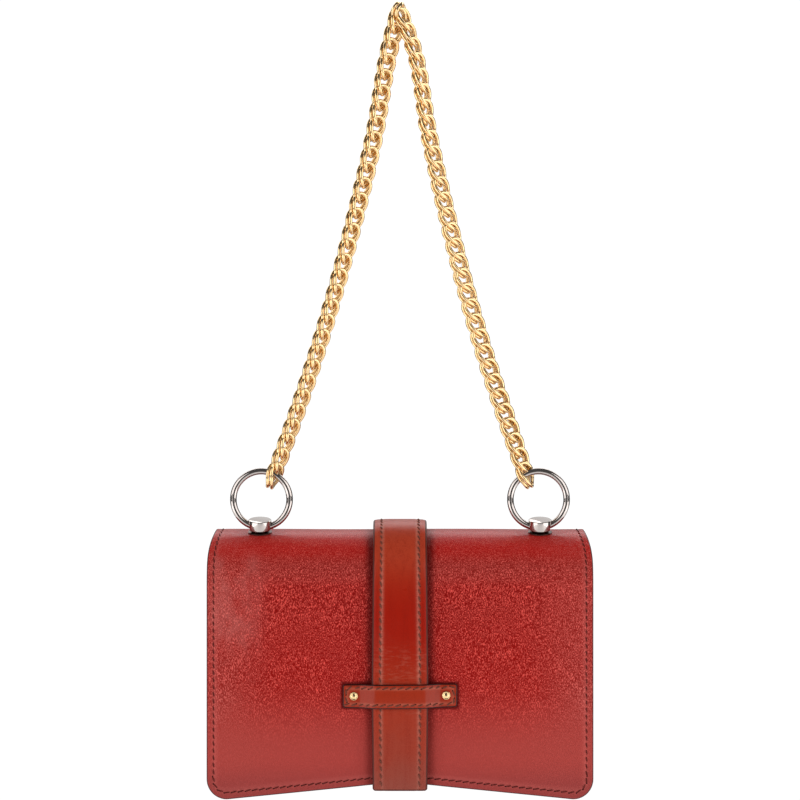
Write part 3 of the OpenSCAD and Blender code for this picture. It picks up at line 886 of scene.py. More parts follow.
class Repeat:
    """Geometry Nodes tree that sets copies of a unit along a path."""

    def __init__(self, name: str) -> None:
        """Builds the tree with its named inputs.

        Args:
            name: The tree's name.
        """
        tree = bpy.data.node_groups.new(name, "GeometryNodeTree")
        face = tree.interface
        inputs = (("Path", "Geometry"), ("Unit", "Object"), ("Count", "Int"), ("Finish", "Material"))
        for socket, kind in inputs:
            face.new_socket(socket, in_out="INPUT", socket_type=f"NodeSocket{kind}")
        face.new_socket("Result", in_out="OUTPUT", socket_type="NodeSocketGeometry")
        self.tree = tree
        made = {
            "given": self._node("NodeGroupInput"),
            "curve": self._node("GeometryNodeMeshToCurve"),
            "even": self._node("GeometryNodeResampleCurve"),
            "tangent": self._node("GeometryNodeInputTangent"),
            "facing": self._node("GeometryNodeInputNamedAttribute", data_type="FLOAT_VECTOR"),
            "roll": self._node("GeometryNodeInputNamedAttribute", data_type="FLOAT"),
            "lean": self._node("GeometryNodeInputNamedAttribute", data_type="FLOAT"),
            "ahead": self._node("FunctionNodeAlignRotationToVector", axis="X"),
            "upright": self._node("FunctionNodeAlignRotationToVector", axis="Z", pivot_axis="X"),
            "turn": self._node("FunctionNodeAxisAngleToRotation"),
            "turned": self._node("FunctionNodeRotateRotation", rotation_space="LOCAL"),
            "tip": self._node("FunctionNodeAxisAngleToRotation"),
            "leant": self._node("FunctionNodeRotateRotation", rotation_space="LOCAL"),
            "unit": self._node("GeometryNodeObjectInfo"),
            "place": self._node("GeometryNodeInstanceOnPoints"),
            "real": self._node("GeometryNodeRealizeInstances"),
            "finish": self._node("GeometryNodeSetMaterial"),
            "out": self._node("NodeGroupOutput"),
        }
        for word in ("facing", "roll", "lean"):
            made[word].inputs["Name"].default_value = word
        made["turn"].inputs["Axis"].default_value = (1.0, 0.0, 0.0)
        made["tip"].inputs["Axis"].default_value = (0.0, 0.0, 1.0)
        for start, output, end, socket in (
            ("given", "Path", "curve", "Mesh"),
            ("curve", "Curve", "even", "Curve"),
            ("given", "Count", "even", "Count"),
            ("tangent", "Tangent", "ahead", "Vector"),
            ("ahead", "Rotation", "upright", "Rotation"),
            ("facing", "Attribute", "upright", "Vector"),
            ("roll", "Attribute", "turn", "Angle"),
            ("upright", "Rotation", "turned", "Rotation"),
            ("turn", "Rotation", "turned", "Rotate By"),
            ("lean", "Attribute", "tip", "Angle"),
            ("turned", "Rotation", "leant", "Rotation"),
            ("tip", "Rotation", "leant", "Rotate By"),
            ("given", "Unit", "unit", "Object"),
            ("even", "Curve", "place", "Points"),
            ("unit", "Geometry", "place", "Instance"),
            ("leant", "Rotation", "place", "Rotation"),
            ("place", "Instances", "real", "Geometry"),
            ("real", "Geometry", "finish", "Geometry"),
            ("given", "Finish", "finish", "Material"),
            ("finish", "Geometry", "out", "Result"),
        ):
            tree.links.new(made[start].outputs[output], made[end].inputs[socket])

    def _node(self, kind: str, **settings: object) -> bpy.types.Node:
        """Adds one node.

        Args:
            kind: The node's type.
            settings: Its properties.

        Returns:
            The node.
        """
        made = self.tree.nodes.new(kind)
        for key, value in settings.items():
            setattr(made, key, value)
        return made

    def along(
        self,
        name: str,
        path: Sequence[Sequence[float]],
        facing: Sequence[Sequence[float]],
        unit: bpy.types.Object,
        count: int,
        finish: bpy.types.Material,
        roll: Sequence[float] | float = 0.0,
        lean: Sequence[float] | float = 0.0,
    ) -> bpy.types.Object:
        """Sets copies of a unit along a path and bakes them to one mesh.

        Args:
            name: The new object's name.
            path: The path's points, in millimetres.
            facing: Where the unit's Z points, at each point.
            unit: What is repeated, long along X.
            count: Number of copies.
            finish: Their material.
            roll: Turn about the path at each point, in radians.
            lean: Turn about the unit's own Z after that, in radians.

        Returns:
            The baked object.
        """
        mesh = bpy.data.meshes.new(name)
        edges = [(i, i + 1) for i in range(len(path) - 1)]
        mesh.from_pydata((np.asarray(path, float) * MM).tolist(), edges, [])
        up = mesh.attributes.new("facing", "FLOAT_VECTOR", "POINT")
        up.data.foreach_set("vector", np.asarray(facing, np.float32).ravel())
        for word, angle in (("roll", roll), ("lean", lean)):
            kept = mesh.attributes.new(word, "FLOAT", "POINT")
            kept.data.foreach_set("value", np.broadcast_to(angle, len(path)).astype(np.float32))
        carrier = to_object(name + "_path", mesh)
        modifier = carrier.modifiers.new("repeat", "NODES")
        modifier.node_group = self.tree
        wanted = {"Unit": unit, "Count": count, "Finish": finish}
        for item in self.tree.interface.items_tree:
            if item.item_type == "SOCKET" and item.name in wanted:
                modifier[item.identifier] = wanted[item.name]
        bpy.context.view_layer.update()
        graph = bpy.context.evaluated_depsgraph_get()
        baked = bpy.data.meshes.new_from_object(carrier.evaluated_get(graph), depsgraph=graph)
        bpy.data.objects.remove(carrier)
        baked.name = name
        baked.polygons.foreach_set("use_smooth", np.ones(len(baked.polygons), bool))
        LOG.info("%s: %d copies, %d faces", name, count, len(baked.polygons))
        return to_object(name, baked)


def tube_mesh(
    name: str,
    lines: Sequence[np.ndarray],
    radius: Sequence[float] | float,
    sides: int,
    closed: bool,
) -> bpy.types.Object:
    """Makes round tubes along lines of points.

    Args:
        name: The object's name.
        lines: The centrelines, in millimetres.
        radius: The tube's radius, or one for each point.
        sides: Number of faces round a tube.
        closed: Whether the lines are rings.

    Returns:
        The object.
    """
    points, faces = [], []
    for line in lines:
        count = len(line)
        sizes = np.full(count, radius) if np.isscalar(radius) else np.asarray(radius)
        if closed:
            ahead = np.roll(line, -1, 0) - np.roll(line, 1, 0)
        else:
            ahead = np.gradient(line, axis=0)
        ahead /= np.linalg.norm(ahead, axis=1)[:, None]
        side = np.cross(ahead[0], (0.0, 0.0, 1.0))
        if np.linalg.norm(side) < 1e-3:
            side = np.cross(ahead[0], (0.0, 1.0, 0.0))
        base = len(points)
        sides_at = []
        for a in ahead:
            side = side - a * (side @ a)
            side /= np.linalg.norm(side)
            sides_at.append(side.copy())
        twist = 0.0
        if closed:
            back = sides_at[-1] - ahead[0] * (sides_at[-1] @ ahead[0])
            back /= np.linalg.norm(back)
            twist = math.atan2(np.cross(back, sides_at[0]) @ ahead[0], back @ sides_at[0])
        for k in range(count):
            s = sides_at[k]
            n = np.cross(ahead[k], s)
            for m in range(sides):
                a = 2 * math.pi * m / sides + twist * k / count
                points.append(line[k] + sizes[k] * (s * math.cos(a) + n * math.sin(a)))
        for k in range(count if closed else count - 1):
            here, there = base + k * sides, base + (k + 1) % count * sides
            for m in range(sides):
                o = (m + 1) % sides
                faces.append((here + m, here + o, there + o, there + m))
        if not closed:
            faces.append(tuple(base + m for m in range(sides))[::-1])
            faces.append(tuple(base + (count - 1) * sides + m for m in range(sides)))
    return mesh_from(name, np.array(points), faces)


class StitchPart(Enum):
    """What a stitch is made of."""

    THREAD = "thread"
    HOLE = "hole"


@dataclass
class Stitching:
    """Saddle stitches: a slanted thread that dips into a needle hole at each end."""

    repeat: Repeat
    finishes: Wardrobe
    length: float = 2.7
    thread_r: float = 0.3
    slant: float = 13.0
    rise: float = 0.2
    dip: float = 0.42
    thinning: float = 0.35
    hole_past: float = 0.1
    hole_l: float = 0.52
    hole_w: float = 0.36
    hole_lift: float = 0.035
    hole_sides: int = 8
    floor_share: float = 0.8
    units: dict[StitchPart, bpy.types.Object] = field(default_factory=dict)

    def _thread(self) -> bpy.types.Object:
        """Makes one thread, thinner at its ends.

        Returns:
            The thread, long along X.
        """
        turn = math.radians(self.slant)
        shares = np.linspace(-1, 1, 7)
        along = shares * self.length / 2
        height = self.rise - self.dip * shares * shares
        line = np.column_stack((along * math.cos(turn), along * math.sin(turn), height))
        sizes = self.thread_r * (1 - self.thinning * np.abs(shares) ** 3)
        return tube_mesh("thread_unit", [line], sizes, 6, False)

    def _hole(self) -> bpy.types.Object:
        """Makes the painted shade of one needle hole: a dark disc with a slanted rim, at the stitch's end.

        Returns:
            The hole.
        """
        turn = math.radians(self.slant)
        reach = self.length / 2 + self.hole_past
        x, y = reach * math.cos(turn), reach * math.sin(turn)
        n = self.hole_sides
        angles = np.linspace(0, 2 * math.pi, n, endpoint=False)
        rim = [(x + self.hole_l * math.cos(a), y + self.hole_w * math.sin(a), 0.0) for a in angles]
        centre = np.mean(rim, axis=0)
        top = [centre + (np.array(p) - centre) * self.floor_share + (0, 0, self.hole_lift) for p in rim]
        faces = [tuple(range(n, 2 * n))] + [(i, (i + 1) % n, n + (i + 1) % n, n + i) for i in range(n)]
        return mesh_from("hole_unit", np.array([*rim, *top]), faces)

    def _unit(self, part: StitchPart) -> bpy.types.Object:
        """Makes the thread or the hole once.

        Args:
            part: Which of them.

        Returns:
            The unit, kept out of the render.
        """
        if part not in self.units:
            made = self._thread() if part is StitchPart.THREAD else self._hole()
            made.hide_render = True
            self.units[part] = made
        return self.units[part]

    def sew(
        self,
        name: str,
        path: np.ndarray,
        facing: np.ndarray,
        pitch: float,
        thread: bpy.types.Material,
    ) -> Pieces:
        """Sews one row.

        Args:
            name: The row's name.
            path: Points on the leather, in millimetres.
            facing: The leather's outward direction at each point.
            pitch: Length of a stitch with its gap.
            thread: The thread's material.

        Returns:
            The threads and the holes.
        """
        total = float(np.linalg.norm(np.diff(path, axis=0), axis=1).sum())
        count = max(2, round(total / pitch) + 1)
        parts = (("_thread", StitchPart.THREAD, thread), ("_holes", StitchPart.HOLE, self.finishes.hole))
        return [
            self.repeat.along(name + end, path, facing, self._unit(part), count, material)
            for end, part, material in parts
        ]

    def clear(self) -> None:
        """Removes the units."""
        for made in self.units.values():
            bpy.data.objects.remove(made)
        self.units.clear()


def seam_path(
    place: PlaceFn,
    route: Sequence[tuple[float, float]],
    inset: float,
    under: float,
) -> tuple[np.ndarray, np.ndarray]:
    """Lays a row of stitches over a sheet.

    Args:
        place: The sheet's place function.
        route: The shares that the row passes through.
        inset: How far it lies inside the outline.
        under: A depth below the face, which shows the outward direction.

    Returns:
        The points and the outward directions.
    """
    path, facing = [], []
    for u, v in route:
        top = place(u, v, inset, 0.0)
        out = top - place(u, v, inset, under)
        path.append(top)
        facing.append(out / np.linalg.norm(out))
    return np.array(path), np.array(facing)


@dataclass
class Body:
    """Levels and planes that the leather pieces share, as in the part's source."""

    half_w: float = 100.0
    roll_y: float = 7.258
    roll_z: float = -304.029
    roll_r: float = 28.0
    low_z: float = -414.6
    body_z: float = -404.329
    arch_z: float = -405.7
    bottom_z: float = -398.329
    mouth_z: float = -312.029
    corner_r: float = 10.5
    taper: float = 3.5
    taper_h: float = 20.0
    taper_power: float = 2.6
    front_y: float = -14.242
    front_in_y: float = -12.742
    back_in_y: float = 33.758
    post_x: float = 73.4
    lean: float = 14.0
    washer_rho: float = 27.3
    washer_gap: float = 0.03
    flat_r: float = 6.8
    flat_soft: float = 9.0

    @property
    def top_z(self) -> float:
        """Height of the top of the roll."""
        return self.roll_z + self.roll_r

    @property
    def arc(self) -> float:
        """Length of the outer leather over the roll."""
        return math.pi * self.roll_r

    def width_at(self, z: float) -> float:
        """Half width of the flap and the back at a height."""
        share = held((self.top_z - z) / self.taper_h)
        return self.half_w - self.taper * (1 - share) ** self.taper_power

    def profile(self, s: float, depth: float, radius: float) -> tuple[float, float, float, float]:
        """Walks up the back, over the roll and down the front.

        Args:
            s: Distance from the roll's back tangent, negative on the back.
            depth: Depth below the sheet's outer face.
            radius: The outer face's radius on the roll.

        Returns:
            Y, Z and the outward direction's Y and Z.
        """
        arc = math.pi * radius
        if s < 0:
            return self.roll_y + radius - depth, self.roll_z + s, 1.0, 0.0
        if s > arc:
            return self.roll_y - radius + depth, self.roll_z - (s - arc), -1.0, 0.0
        a = math.pi / 2 - s / radius
        ny, nz = math.sin(a), math.cos(a)
        return self.roll_y + (radius - depth) * ny, self.roll_z + (radius - depth) * nz, ny, nz

    def dish(self, p: np.ndarray) -> np.ndarray:
        """Presses the leather flat under the posts' washers.

        Args:
            p: A point near the roll.

        Returns:
            The pressed point.
        """
        lean = math.radians(self.lean)
        axis = np.array((0.0, -math.sin(lean), math.cos(lean)))
        flat = self.washer_rho - self.washer_gap
        for side in Side:
            rel = p - np.array((side.value * self.post_x, self.roll_y, self.roll_z))
            high = rel @ axis
            if high > flat:
                away = float(np.linalg.norm(rel - axis * high))
                share = smooth(1 - held((away - self.flat_r) / self.flat_soft))
                p = p - axis * (high - flat) * share
        return p

    def edge_z(self, x: float, low: float, arch: float, inset: float, w: float) -> float:
        """Height of a panel's lower edge at a place across it.

        Args:
            x: The place across.
            low: The lower corners' height.
            arch: The middle's height.
            inset: How far inside the outline.
            w: The outline's half width.

        Returns:
            The height.
        """
        r = self.corner_r
        start = w - r
        ax = abs(x)
        if ax <= start:
            return low + (arch - low) * (1 - ax / start) + inset
        reach = min((ax - start) / max(r - inset, 1e-6), 1.0)
        return low + r - (r - inset) * math.sqrt(max(1 - reach * reach, 0.0))


EDGE_OFFSETS = (0.0, 0.06, 0.25, 0.6, 1.0, 1.6, 2.3, 3.0, 3.6, 4.2, 5.0, 6.2, 7.6, 9.0, 10.5)


def columns_for(half_w: float, pitch: float = 1.8) -> list[float]:
    """Shares across a panel, close together at its edges.

    Args:
        half_w: The panel's half width, in millimetres.
        pitch: The spacing in the middle.

    Returns:
        The shares, from -1 to 1.
    """
    inner = half_w - EDGE_OFFSETS[-1]
    count = max(4, round(inner / pitch))
    middle = [inner * i / count for i in range(-count + 1, count)]
    edge = [half_w - o for o in EDGE_OFFSETS]
    return [x / half_w for x in [*(-e for e in edge), *middle, *edge[::-1]]]


def rows_for(*spans: tuple[float, float, int]) -> list[float]:
    """Row values from several spans of start, end and count, without repeats."""
    values = np.concatenate([np.linspace(*span) for span in spans])
    return [float(v) for i, v in enumerate(values) if i == 0 or v > values[i - 1] + 1e-9]


@dataclass
class Wrap:
    """Outer leather in one piece: back, top roll and flap, with its lining."""

    body: Body
    finishes: Wardrobe
    stitching: Stitching
    leather: float = 1.5
    board: float = 0.78
    board_from: float = 0.9
    board_over: float = 0.6
    rim: float = 0.55
    stitch_inset: float = 3.6
    stitch_pitch: float = 3.65
    furrow: float = 0.22
    furrow_w: float = 0.8
    lip_w: float = 1.3
    lining: float = 0.6
    lining_inset: float = 0.35
    lining_depth: float = 2.3

    def _slack(self, x: float, s: float) -> float:
        """How far the leather stands off its plain shape.

        Args:
            x: Place across.
            s: Distance along the sheet.

        Returns:
            The distance outwards.
        """
        down = s - self.body.arc
        if s < 0:
            return 0.9 * bell(x, 0, 62) * math.sin(math.pi * min(-s / 100, 1.0))
        if down <= 0:
            return 0.12 * math.sin(x / 17) * math.sin(math.pi * s / self.body.arc)
        swell = 0.55 * bell(abs(x), 56, 26) * bell(down, 42, 34)
        wave = 0.25 * math.sin(x / 23 + 1.3) * math.sin(down / 19 + 0.4) * min(down / 20, 1)
        hollow = 0.5 * bell(abs(x), 84, 7) * bell(down, 14, 16)
        pressed = 0.35 * bell(abs(x), 17, 4)
        return swell + wave - hollow - pressed

    def _reach(self, u: float, v: float, inset: float) -> tuple[float, float, float]:
        """Finds a place on the flat sheet.

        Args:
            u: Share across, from -1 to 1.
            v: 0 to 1 on the back, 1 to 2 on the roll and 2 to 3 on the flap.
            inset: How far inside the outline.

        Returns:
            X, the distance from the roll's back tangent, and the distance to the outline.
        """
        b = self.body
        x = u * (b.half_w - inset)
        back = b.edge_z(x, b.body_z, b.body_z, inset, b.half_w) - b.roll_z
        front = b.arc + b.roll_z - b.edge_z(x, b.low_z, b.arch_z, inset, b.half_w)
        if v < 1:
            s = back * (1 - v)
        elif v < 2:
            s = b.arc * (v - 1)
        else:
            s = b.arc + (front - b.arc) * (v - 2)
        return x, s, min(b.half_w - abs(x), s - back, front - s)

    def place(self, u: float, v: float, inset: float, depth: float) -> np.ndarray:
        """Finds a point of the wrap.

        Args:
            u: Share across, from -1 to 1.
            v: 0 to 1 on the back, 1 to 2 on the roll and 2 to 3 on the flap.
            inset: How far inside the outline.
            depth: How deep below the outer face.

        Returns:
            The point, in millimetres.
        """
        b = self.body
        x, s, near = self._reach(u, v, inset)
        y, z, ny, nz = b.profile(s, depth, b.roll_r)
        off = self._slack(x, s)
        if depth < FACE_DEPTH:
            off -= self.furrow * bell(near, self.stitch_inset, self.furrow_w)
        p = np.array((x * b.width_at(z) / b.half_w, y + ny * off, z + nz * off))
        return b.dish(p) if 0 < s < b.arc else p

    def place_lining(self, u: float, v: float, inset: float, depth: float) -> np.ndarray:
        """Finds a point of the flap's lining, with the same values as place."""
        return self.place(u, v, inset + self.lining_inset, self.lining_depth + depth)

    def seam(self) -> tuple[np.ndarray, np.ndarray]:
        """Path of the stitches all round the wrap.

        Returns:
            The points and the outward directions.
        """
        cols = columns_for(self.body.half_w, 3.0)
        rows = rows_for((0, 1, 40), (1, 2, 60), (2, 3, 50))
        route = [
            *((u, 0.0) for u in cols[:-1]),
            *((1.0, v) for v in rows[:-1]),
            *((u, 3.0) for u in cols[:0:-1]),
            *((-1.0, v) for v in rows[::-1]),
        ]
        return seam_path(self.place, route, self.stitch_inset, 2.0)

    def near_seam(self, u: float, v: float) -> float:
        """Nearness to the stitches at a place, from 0 to 1."""
        return bell(self._reach(u, v, 0.0)[2], self.stitch_inset, self.lip_w)

    def thickness(self, u: float, v: float) -> float:
        """Thickness of leather and board at a place."""
        return self.leather + self.board * smooth(held((v - self.board_from) / self.board_over))

    def build(self) -> Pieces:
        """Builds the wrap, its lining and its stitches.

        Returns:
            The pieces.
        """
        b, f = self.body, self.finishes
        back = ((0, 0.02, 5), (0.03, 0.08, 5), (0.1, 1, 48))
        rows = rows_for(*back, (1, 2, 78), (2, 2.9, 58), (2.92, 2.98, 6), (2.985, 3, 4))
        columns = columns_for(b.half_w)
        sheet = Panel("wrap", self.place, columns, rows, self.thickness, self.rim, 3, self.near_seam)
        wrap = sheet.build(f.red, f.dark_edge, f.red)
        layer = wrap.data.attributes.new("outer", "FLOAT", "POINT")
        layer.data.foreach_set("value", np.ones(len(wrap.data.vertices)))
        leather = ("back_panel", "flap_fold", "flap_outer")
        dress(wrap, Slot.RED_LEATHER, Rides.FOLD, *leather, "top_board", "back_board", "flap_board")

        rows = rows_for((1.79, 2, 14), (2, 2.95, 34), (2.96, 3, 6))
        columns = columns_for(b.half_w, 3.0)
        sheet = Panel("flap_lining_cloth", self.place_lining, columns, rows, self.lining, 0.2, 2)
        lining = sheet.build(f.lining, f.dark_edge, f.lining)
        dress(lining, Slot.LINING, Rides.FLAP, "flap_lining")

        made = self.stitching.sew("wrap_seam", *self.seam(), self.stitch_pitch, f.dark_thread)
        for piece in made:
            dress(piece, Slot.RED_LEATHER, Rides.FOLD)
        return [wrap, lining, *made]


@dataclass
class Strap:
    """Smooth leather strap over the roll, sewn along both sides."""

    body: Body
    finishes: Wardrobe
    stitching: Stitching
    top_w: float = 28.0
    mid_w: float = 29.4
    end_w: float = 28.3
    mid_share: float = 0.6
    widens_from: float = 140.0
    outer_r: float = 31.9
    thick: float = 3.5
    back_l: float = 62.0
    tail_z: float = -409.8
    cut: float = 1.2
    rim: float = 0.9
    stitch_inset: float = 4.3
    stitch_pitch: float = 3.8
    crown: float = 0.55
    furrow: float = 0.28
    furrow_w: float = 0.75
    lip_w: float = 0.95
    slack: float = 1.4
    ripple: float = 0.1
    ripple_l: float = 7.5
    across_shares: tuple[float, ...] = (
        0, 0.1, 0.2, 0.3, 0.4, 0.5, 0.58, 0.64, 0.67, 0.7, 0.73, 0.77, 0.82, 0.87, 0.92, 0.96, 0.985, 1,
    )

    @property
    def arc(self) -> float:
        """Length of the strap over the roll."""
        return math.pi * self.outer_r

    @property
    def front(self) -> float:
        """Distance from the roll's back tangent to the strap's free end."""
        return self.arc + self.body.roll_z - self.tail_z

    def half_at(self, s: float) -> float:
        """Half width at a place along the strap.

        Args:
            s: Distance from the roll's back tangent.

        Returns:
            The half width.
        """
        start = self.outer_r * math.radians(self.widens_from)
        share = (s - start) / (self.front - start)
        widths = (self.top_w, self.mid_w, self.end_w)
        return float(np.interp(share, (0.0, self.mid_share, 1.0), widths)) / 2

    def place(self, u: float, v: float, inset: float, depth: float) -> np.ndarray:
        """Finds a point of the strap.

        Args:
            u: Share across, from -1 to 1.
            v: 0 to 1 on the back, 1 to 2 on the roll and 2 to 3 on the flap.
            inset: How far inside the outline.
            depth: How deep below the outer face.

        Returns:
            The point, in millimetres.
        """
        arc, front, back = self.arc, self.front, -self.back_l
        if v < 1:
            s = (back + inset) * (1 - v)
        elif v < 2:
            s = arc * (v - 1)
        else:
            s = arc + (front - inset - arc) * (v - 2)
        half = self.half_at(s) - inset
        near = min(front - s, s - back)
        if near < self.cut:
            half -= self.cut * (1 - near / self.cut) ** 2
        y, z, ny, nz = self.body.profile(s, depth, self.outer_r)
        across = abs(u)
        off = 0.0
        if depth < self.thick / 2:
            from_edge = half * (1 - across) + inset
            off -= self.crown * across ** 6 + self.furrow * bell(from_edge, self.stitch_inset, self.furrow_w)
        if 0 < s < arc:
            off += self.slack * math.sin(math.pi * s / arc) ** 3 * (1 - 0.6 * depth / self.thick)
        elif s > arc:
            off += self.ripple * math.sin((s - arc) / self.ripple_l) * (1 - across)
        return np.array((u * half, y + ny * off, z + nz * off))

    def near_seam(self, u: float, v: float) -> float:
        """Nearness to the stitches at a place, from 0 to 1."""
        half = self.place(1.0, v, 0.0, 0.0)[0]
        return bell(half * (1 - abs(u)), self.stitch_inset, self.lip_w)

    def seam(self, side: Side) -> tuple[np.ndarray, np.ndarray]:
        """Path of the stitches along one side.

        Args:
            side: Which side.

        Returns:
            The points and the outward directions.
        """
        route = []
        for v in rows_for((0.03, 1, 30), (1, 2, 60), (2, 2.962, 60)):
            half = self.place(1.0, v, 0.0, 0.0)[0]
            route.append((side.value * (1 - self.stitch_inset / half), v))
        return seam_path(self.place, route, 0.0, 1.0)

    def build(self) -> Pieces:
        """Builds the strap and its stitches.

        Returns:
            The pieces.
        """
        f = self.finishes
        columns = mirrored(self.across_shares)
        rows = rows_for((0, 0.02, 4), (0.03, 1, 30), (1, 2, 60), (2, 2.98, 60), (2.984, 3, 5))
        sheet = Panel("strap", self.place, columns, rows, self.thick, self.rim, 4, self.near_seam)
        strap = sheet.build(f.strap, f.brown_edge, f.strap)
        dress(strap, Slot.STRAP_LEATHER, Rides.FOLD, "strap_rear", "strap_fold", "strap_front")
        made = [strap]
        for side in Side:
            row = f"strap_seam_{side.word}"
            for piece in self.stitching.sew(row, *self.seam(side), self.stitch_pitch, f.tan_thread):
                dress(piece, Slot.STRAP_LEATHER, Rides.FOLD)
                made.append(piece)
        return made


@dataclass
class Keeper:
    """Leather band that holds the strap down, with its stitches and two rivets."""

    body: Body
    finishes: Wardrobe
    stitching: Stitching
    width: float = 59.2
    height: float = 12.1
    thick: float = 1.4
    rim: float = 0.6
    middle_z: float = -360.829
    over_y: float = -24.942
    flap_y: float = -20.742
    rise_from: float = 21.8
    rise_to: float = 12.0
    corner: float = 1.4
    tilt: float = 0.008
    crown: float = 0.25
    bow: float = 0.5
    stitch_inset: float = 1.75
    stitch_pitch: float = 3.9
    lip_w: float = 0.7
    edge_offsets: tuple[float, ...] = (0, 0.05, 0.2, 0.5, 1.0, 1.5, 2.2, 3.4, 5, 7)
    middle_from: float = 8.0
    up_shares: tuple[float, ...] = (0, 0.25, 0.5, 0.62, 0.7, 0.78, 0.86, 0.94, 1)
    rivet_x: float = 23.85
    rivet_r: float = 2.2
    rivet_sink: float = 0.25
    shank_r: float = 1.0
    shank_l: float = 4.0
    head_heights: tuple[float, ...] = (0.95, 0.9, 0.68, 0.56, 0.72, 0.82, 0.68, 0.4, 0.02)
    head_shares: tuple[float, ...] = (0, 0.35, 0.6, 0.68, 0.76, 0.88, 0.97, 1, 0.98)

    def place(self, u: float, v: float, inset: float, depth: float) -> np.ndarray:
        """Finds a point of the band.

        Args:
            u: Share along the band, from -1 to 1.
            v: Share up the band, from -1 to 1.
            inset: How far inside the outline.
            depth: How deep below the outer face.

        Returns:
            The point, in millimetres.
        """
        half_w, half_h = self.width / 2 - inset, self.height / 2 - inset
        r = max(self.corner - inset, 0.02)
        x = u * half_w
        over = max(abs(x) - (half_w - r), 0.0) / r
        z = v * (half_h - r * (1 - math.sqrt(max(1 - over * over, 0.0))))
        lift = smooth(held((self.rise_from - abs(x)) / (self.rise_from - self.rise_to)))
        y = self.flap_y + (self.over_y - self.flap_y) * lift - self.thick + depth
        if depth < self.thick / 2:
            y -= self.crown * (1 - v * v)
        bow = self.bow * (1 - (x / half_w) ** 2) * (1 - v) / 2
        return np.array((x, y, self.middle_z + z - bow + self.tilt * x))

    def near_seam(self, u: float, v: float) -> float:
        """Nearness to the stitches at a place, from 0 to 1."""
        near = min(self.width / 2 * (1 - abs(u)), self.height / 2 * (1 - abs(v)))
        return bell(near, self.stitch_inset, self.lip_w)

    def seam(self) -> tuple[np.ndarray, np.ndarray]:
        """Path of the stitches, which starts and ends at the band's left end.

        Returns:
            The points and the outward directions.
        """
        steps = np.linspace(-1, 1, 60)
        in_u = 1 - 2 * self.stitch_inset / self.width
        in_v = 1 - 2 * self.stitch_inset / self.height
        route = [
            *((u, -1.0) for u in steps),
            *((1.0, v) for v in np.linspace(-0.7, 0.7, 8)),
            *((u, 1.0) for u in steps[::-1]),
            *((-1.0, v) for v in np.linspace(0.7, -0.4, 7)),
        ]
        path, facing = [], []
        for u, v in ((u * in_u, v * in_v) for u, v in route):
            path.append(self.place(u, v, 0.0, 0.0))
            before, after = (self.place(end, v, 0.0, 0.0) for end in (max(u - 0.02, -1), min(u + 0.02, 1)))
            out = np.cross(after - before, (0.0, 0.0, 1.0))
            facing.append(out / np.linalg.norm(out))
        return np.array(path), np.array(facing)

    def _rivet(self, side: Side) -> bpy.types.Object:
        """Makes one rivet, with a groove round its head.

        Args:
            side: Which side of the strap it is on.

        Returns:
            The rivet.
        """
        x = side.value * self.rivet_x
        y = self.place(x / self.width * 2, 0.0, 0.0, 0.0)[1] + self.rivet_sink
        at = Matrix.Translation((x, y, self.middle_z + self.tilt * x))
        head = [(self.rivet_r * share, high) for share, high in zip(self.head_shares, self.head_heights)]
        shank = [(self.shank_r, 0.0), (self.shank_r, -self.shank_l), (0, -self.shank_l)]
        frame = at @ Matrix.Rotation(math.pi / 2, 4, "X")
        return lathe(f"rivet_{side.word}", [*head, *shank], frame, self.finishes.gold, 48)

    def build(self) -> Pieces:
        """Builds the band, its stitches and its rivets.

        Returns:
            The pieces.
        """
        f = self.finishes
        half = self.width / 2
        across = [*(half - o for o in self.edge_offsets), *np.linspace(half - self.middle_from, 0, 30)]
        columns = mirrored([x / half for x in across])
        rows = mirrored(self.up_shares)
        sheet = Panel("keeper_band", self.place, columns, rows, self.thick, self.rim, 3, self.near_seam)
        band = sheet.build(f.keeper, f.black_edge, f.keeper)
        dress(band, Slot.RED_LEATHER, Rides.FLAP, "keeper")
        seams = self.stitching.sew("keeper_seam", *self.seam(), self.stitch_pitch, f.tan_thread)
        for piece in seams:
            dress(piece, Slot.RED_LEATHER, Rides.FLAP)
        heads = join([self._rivet(side) for side in Side], "rivets")
        dress(heads, Slot.GOLD, Rides.FLAP, "keeper_rivets")
        return [band, *seams, heads]


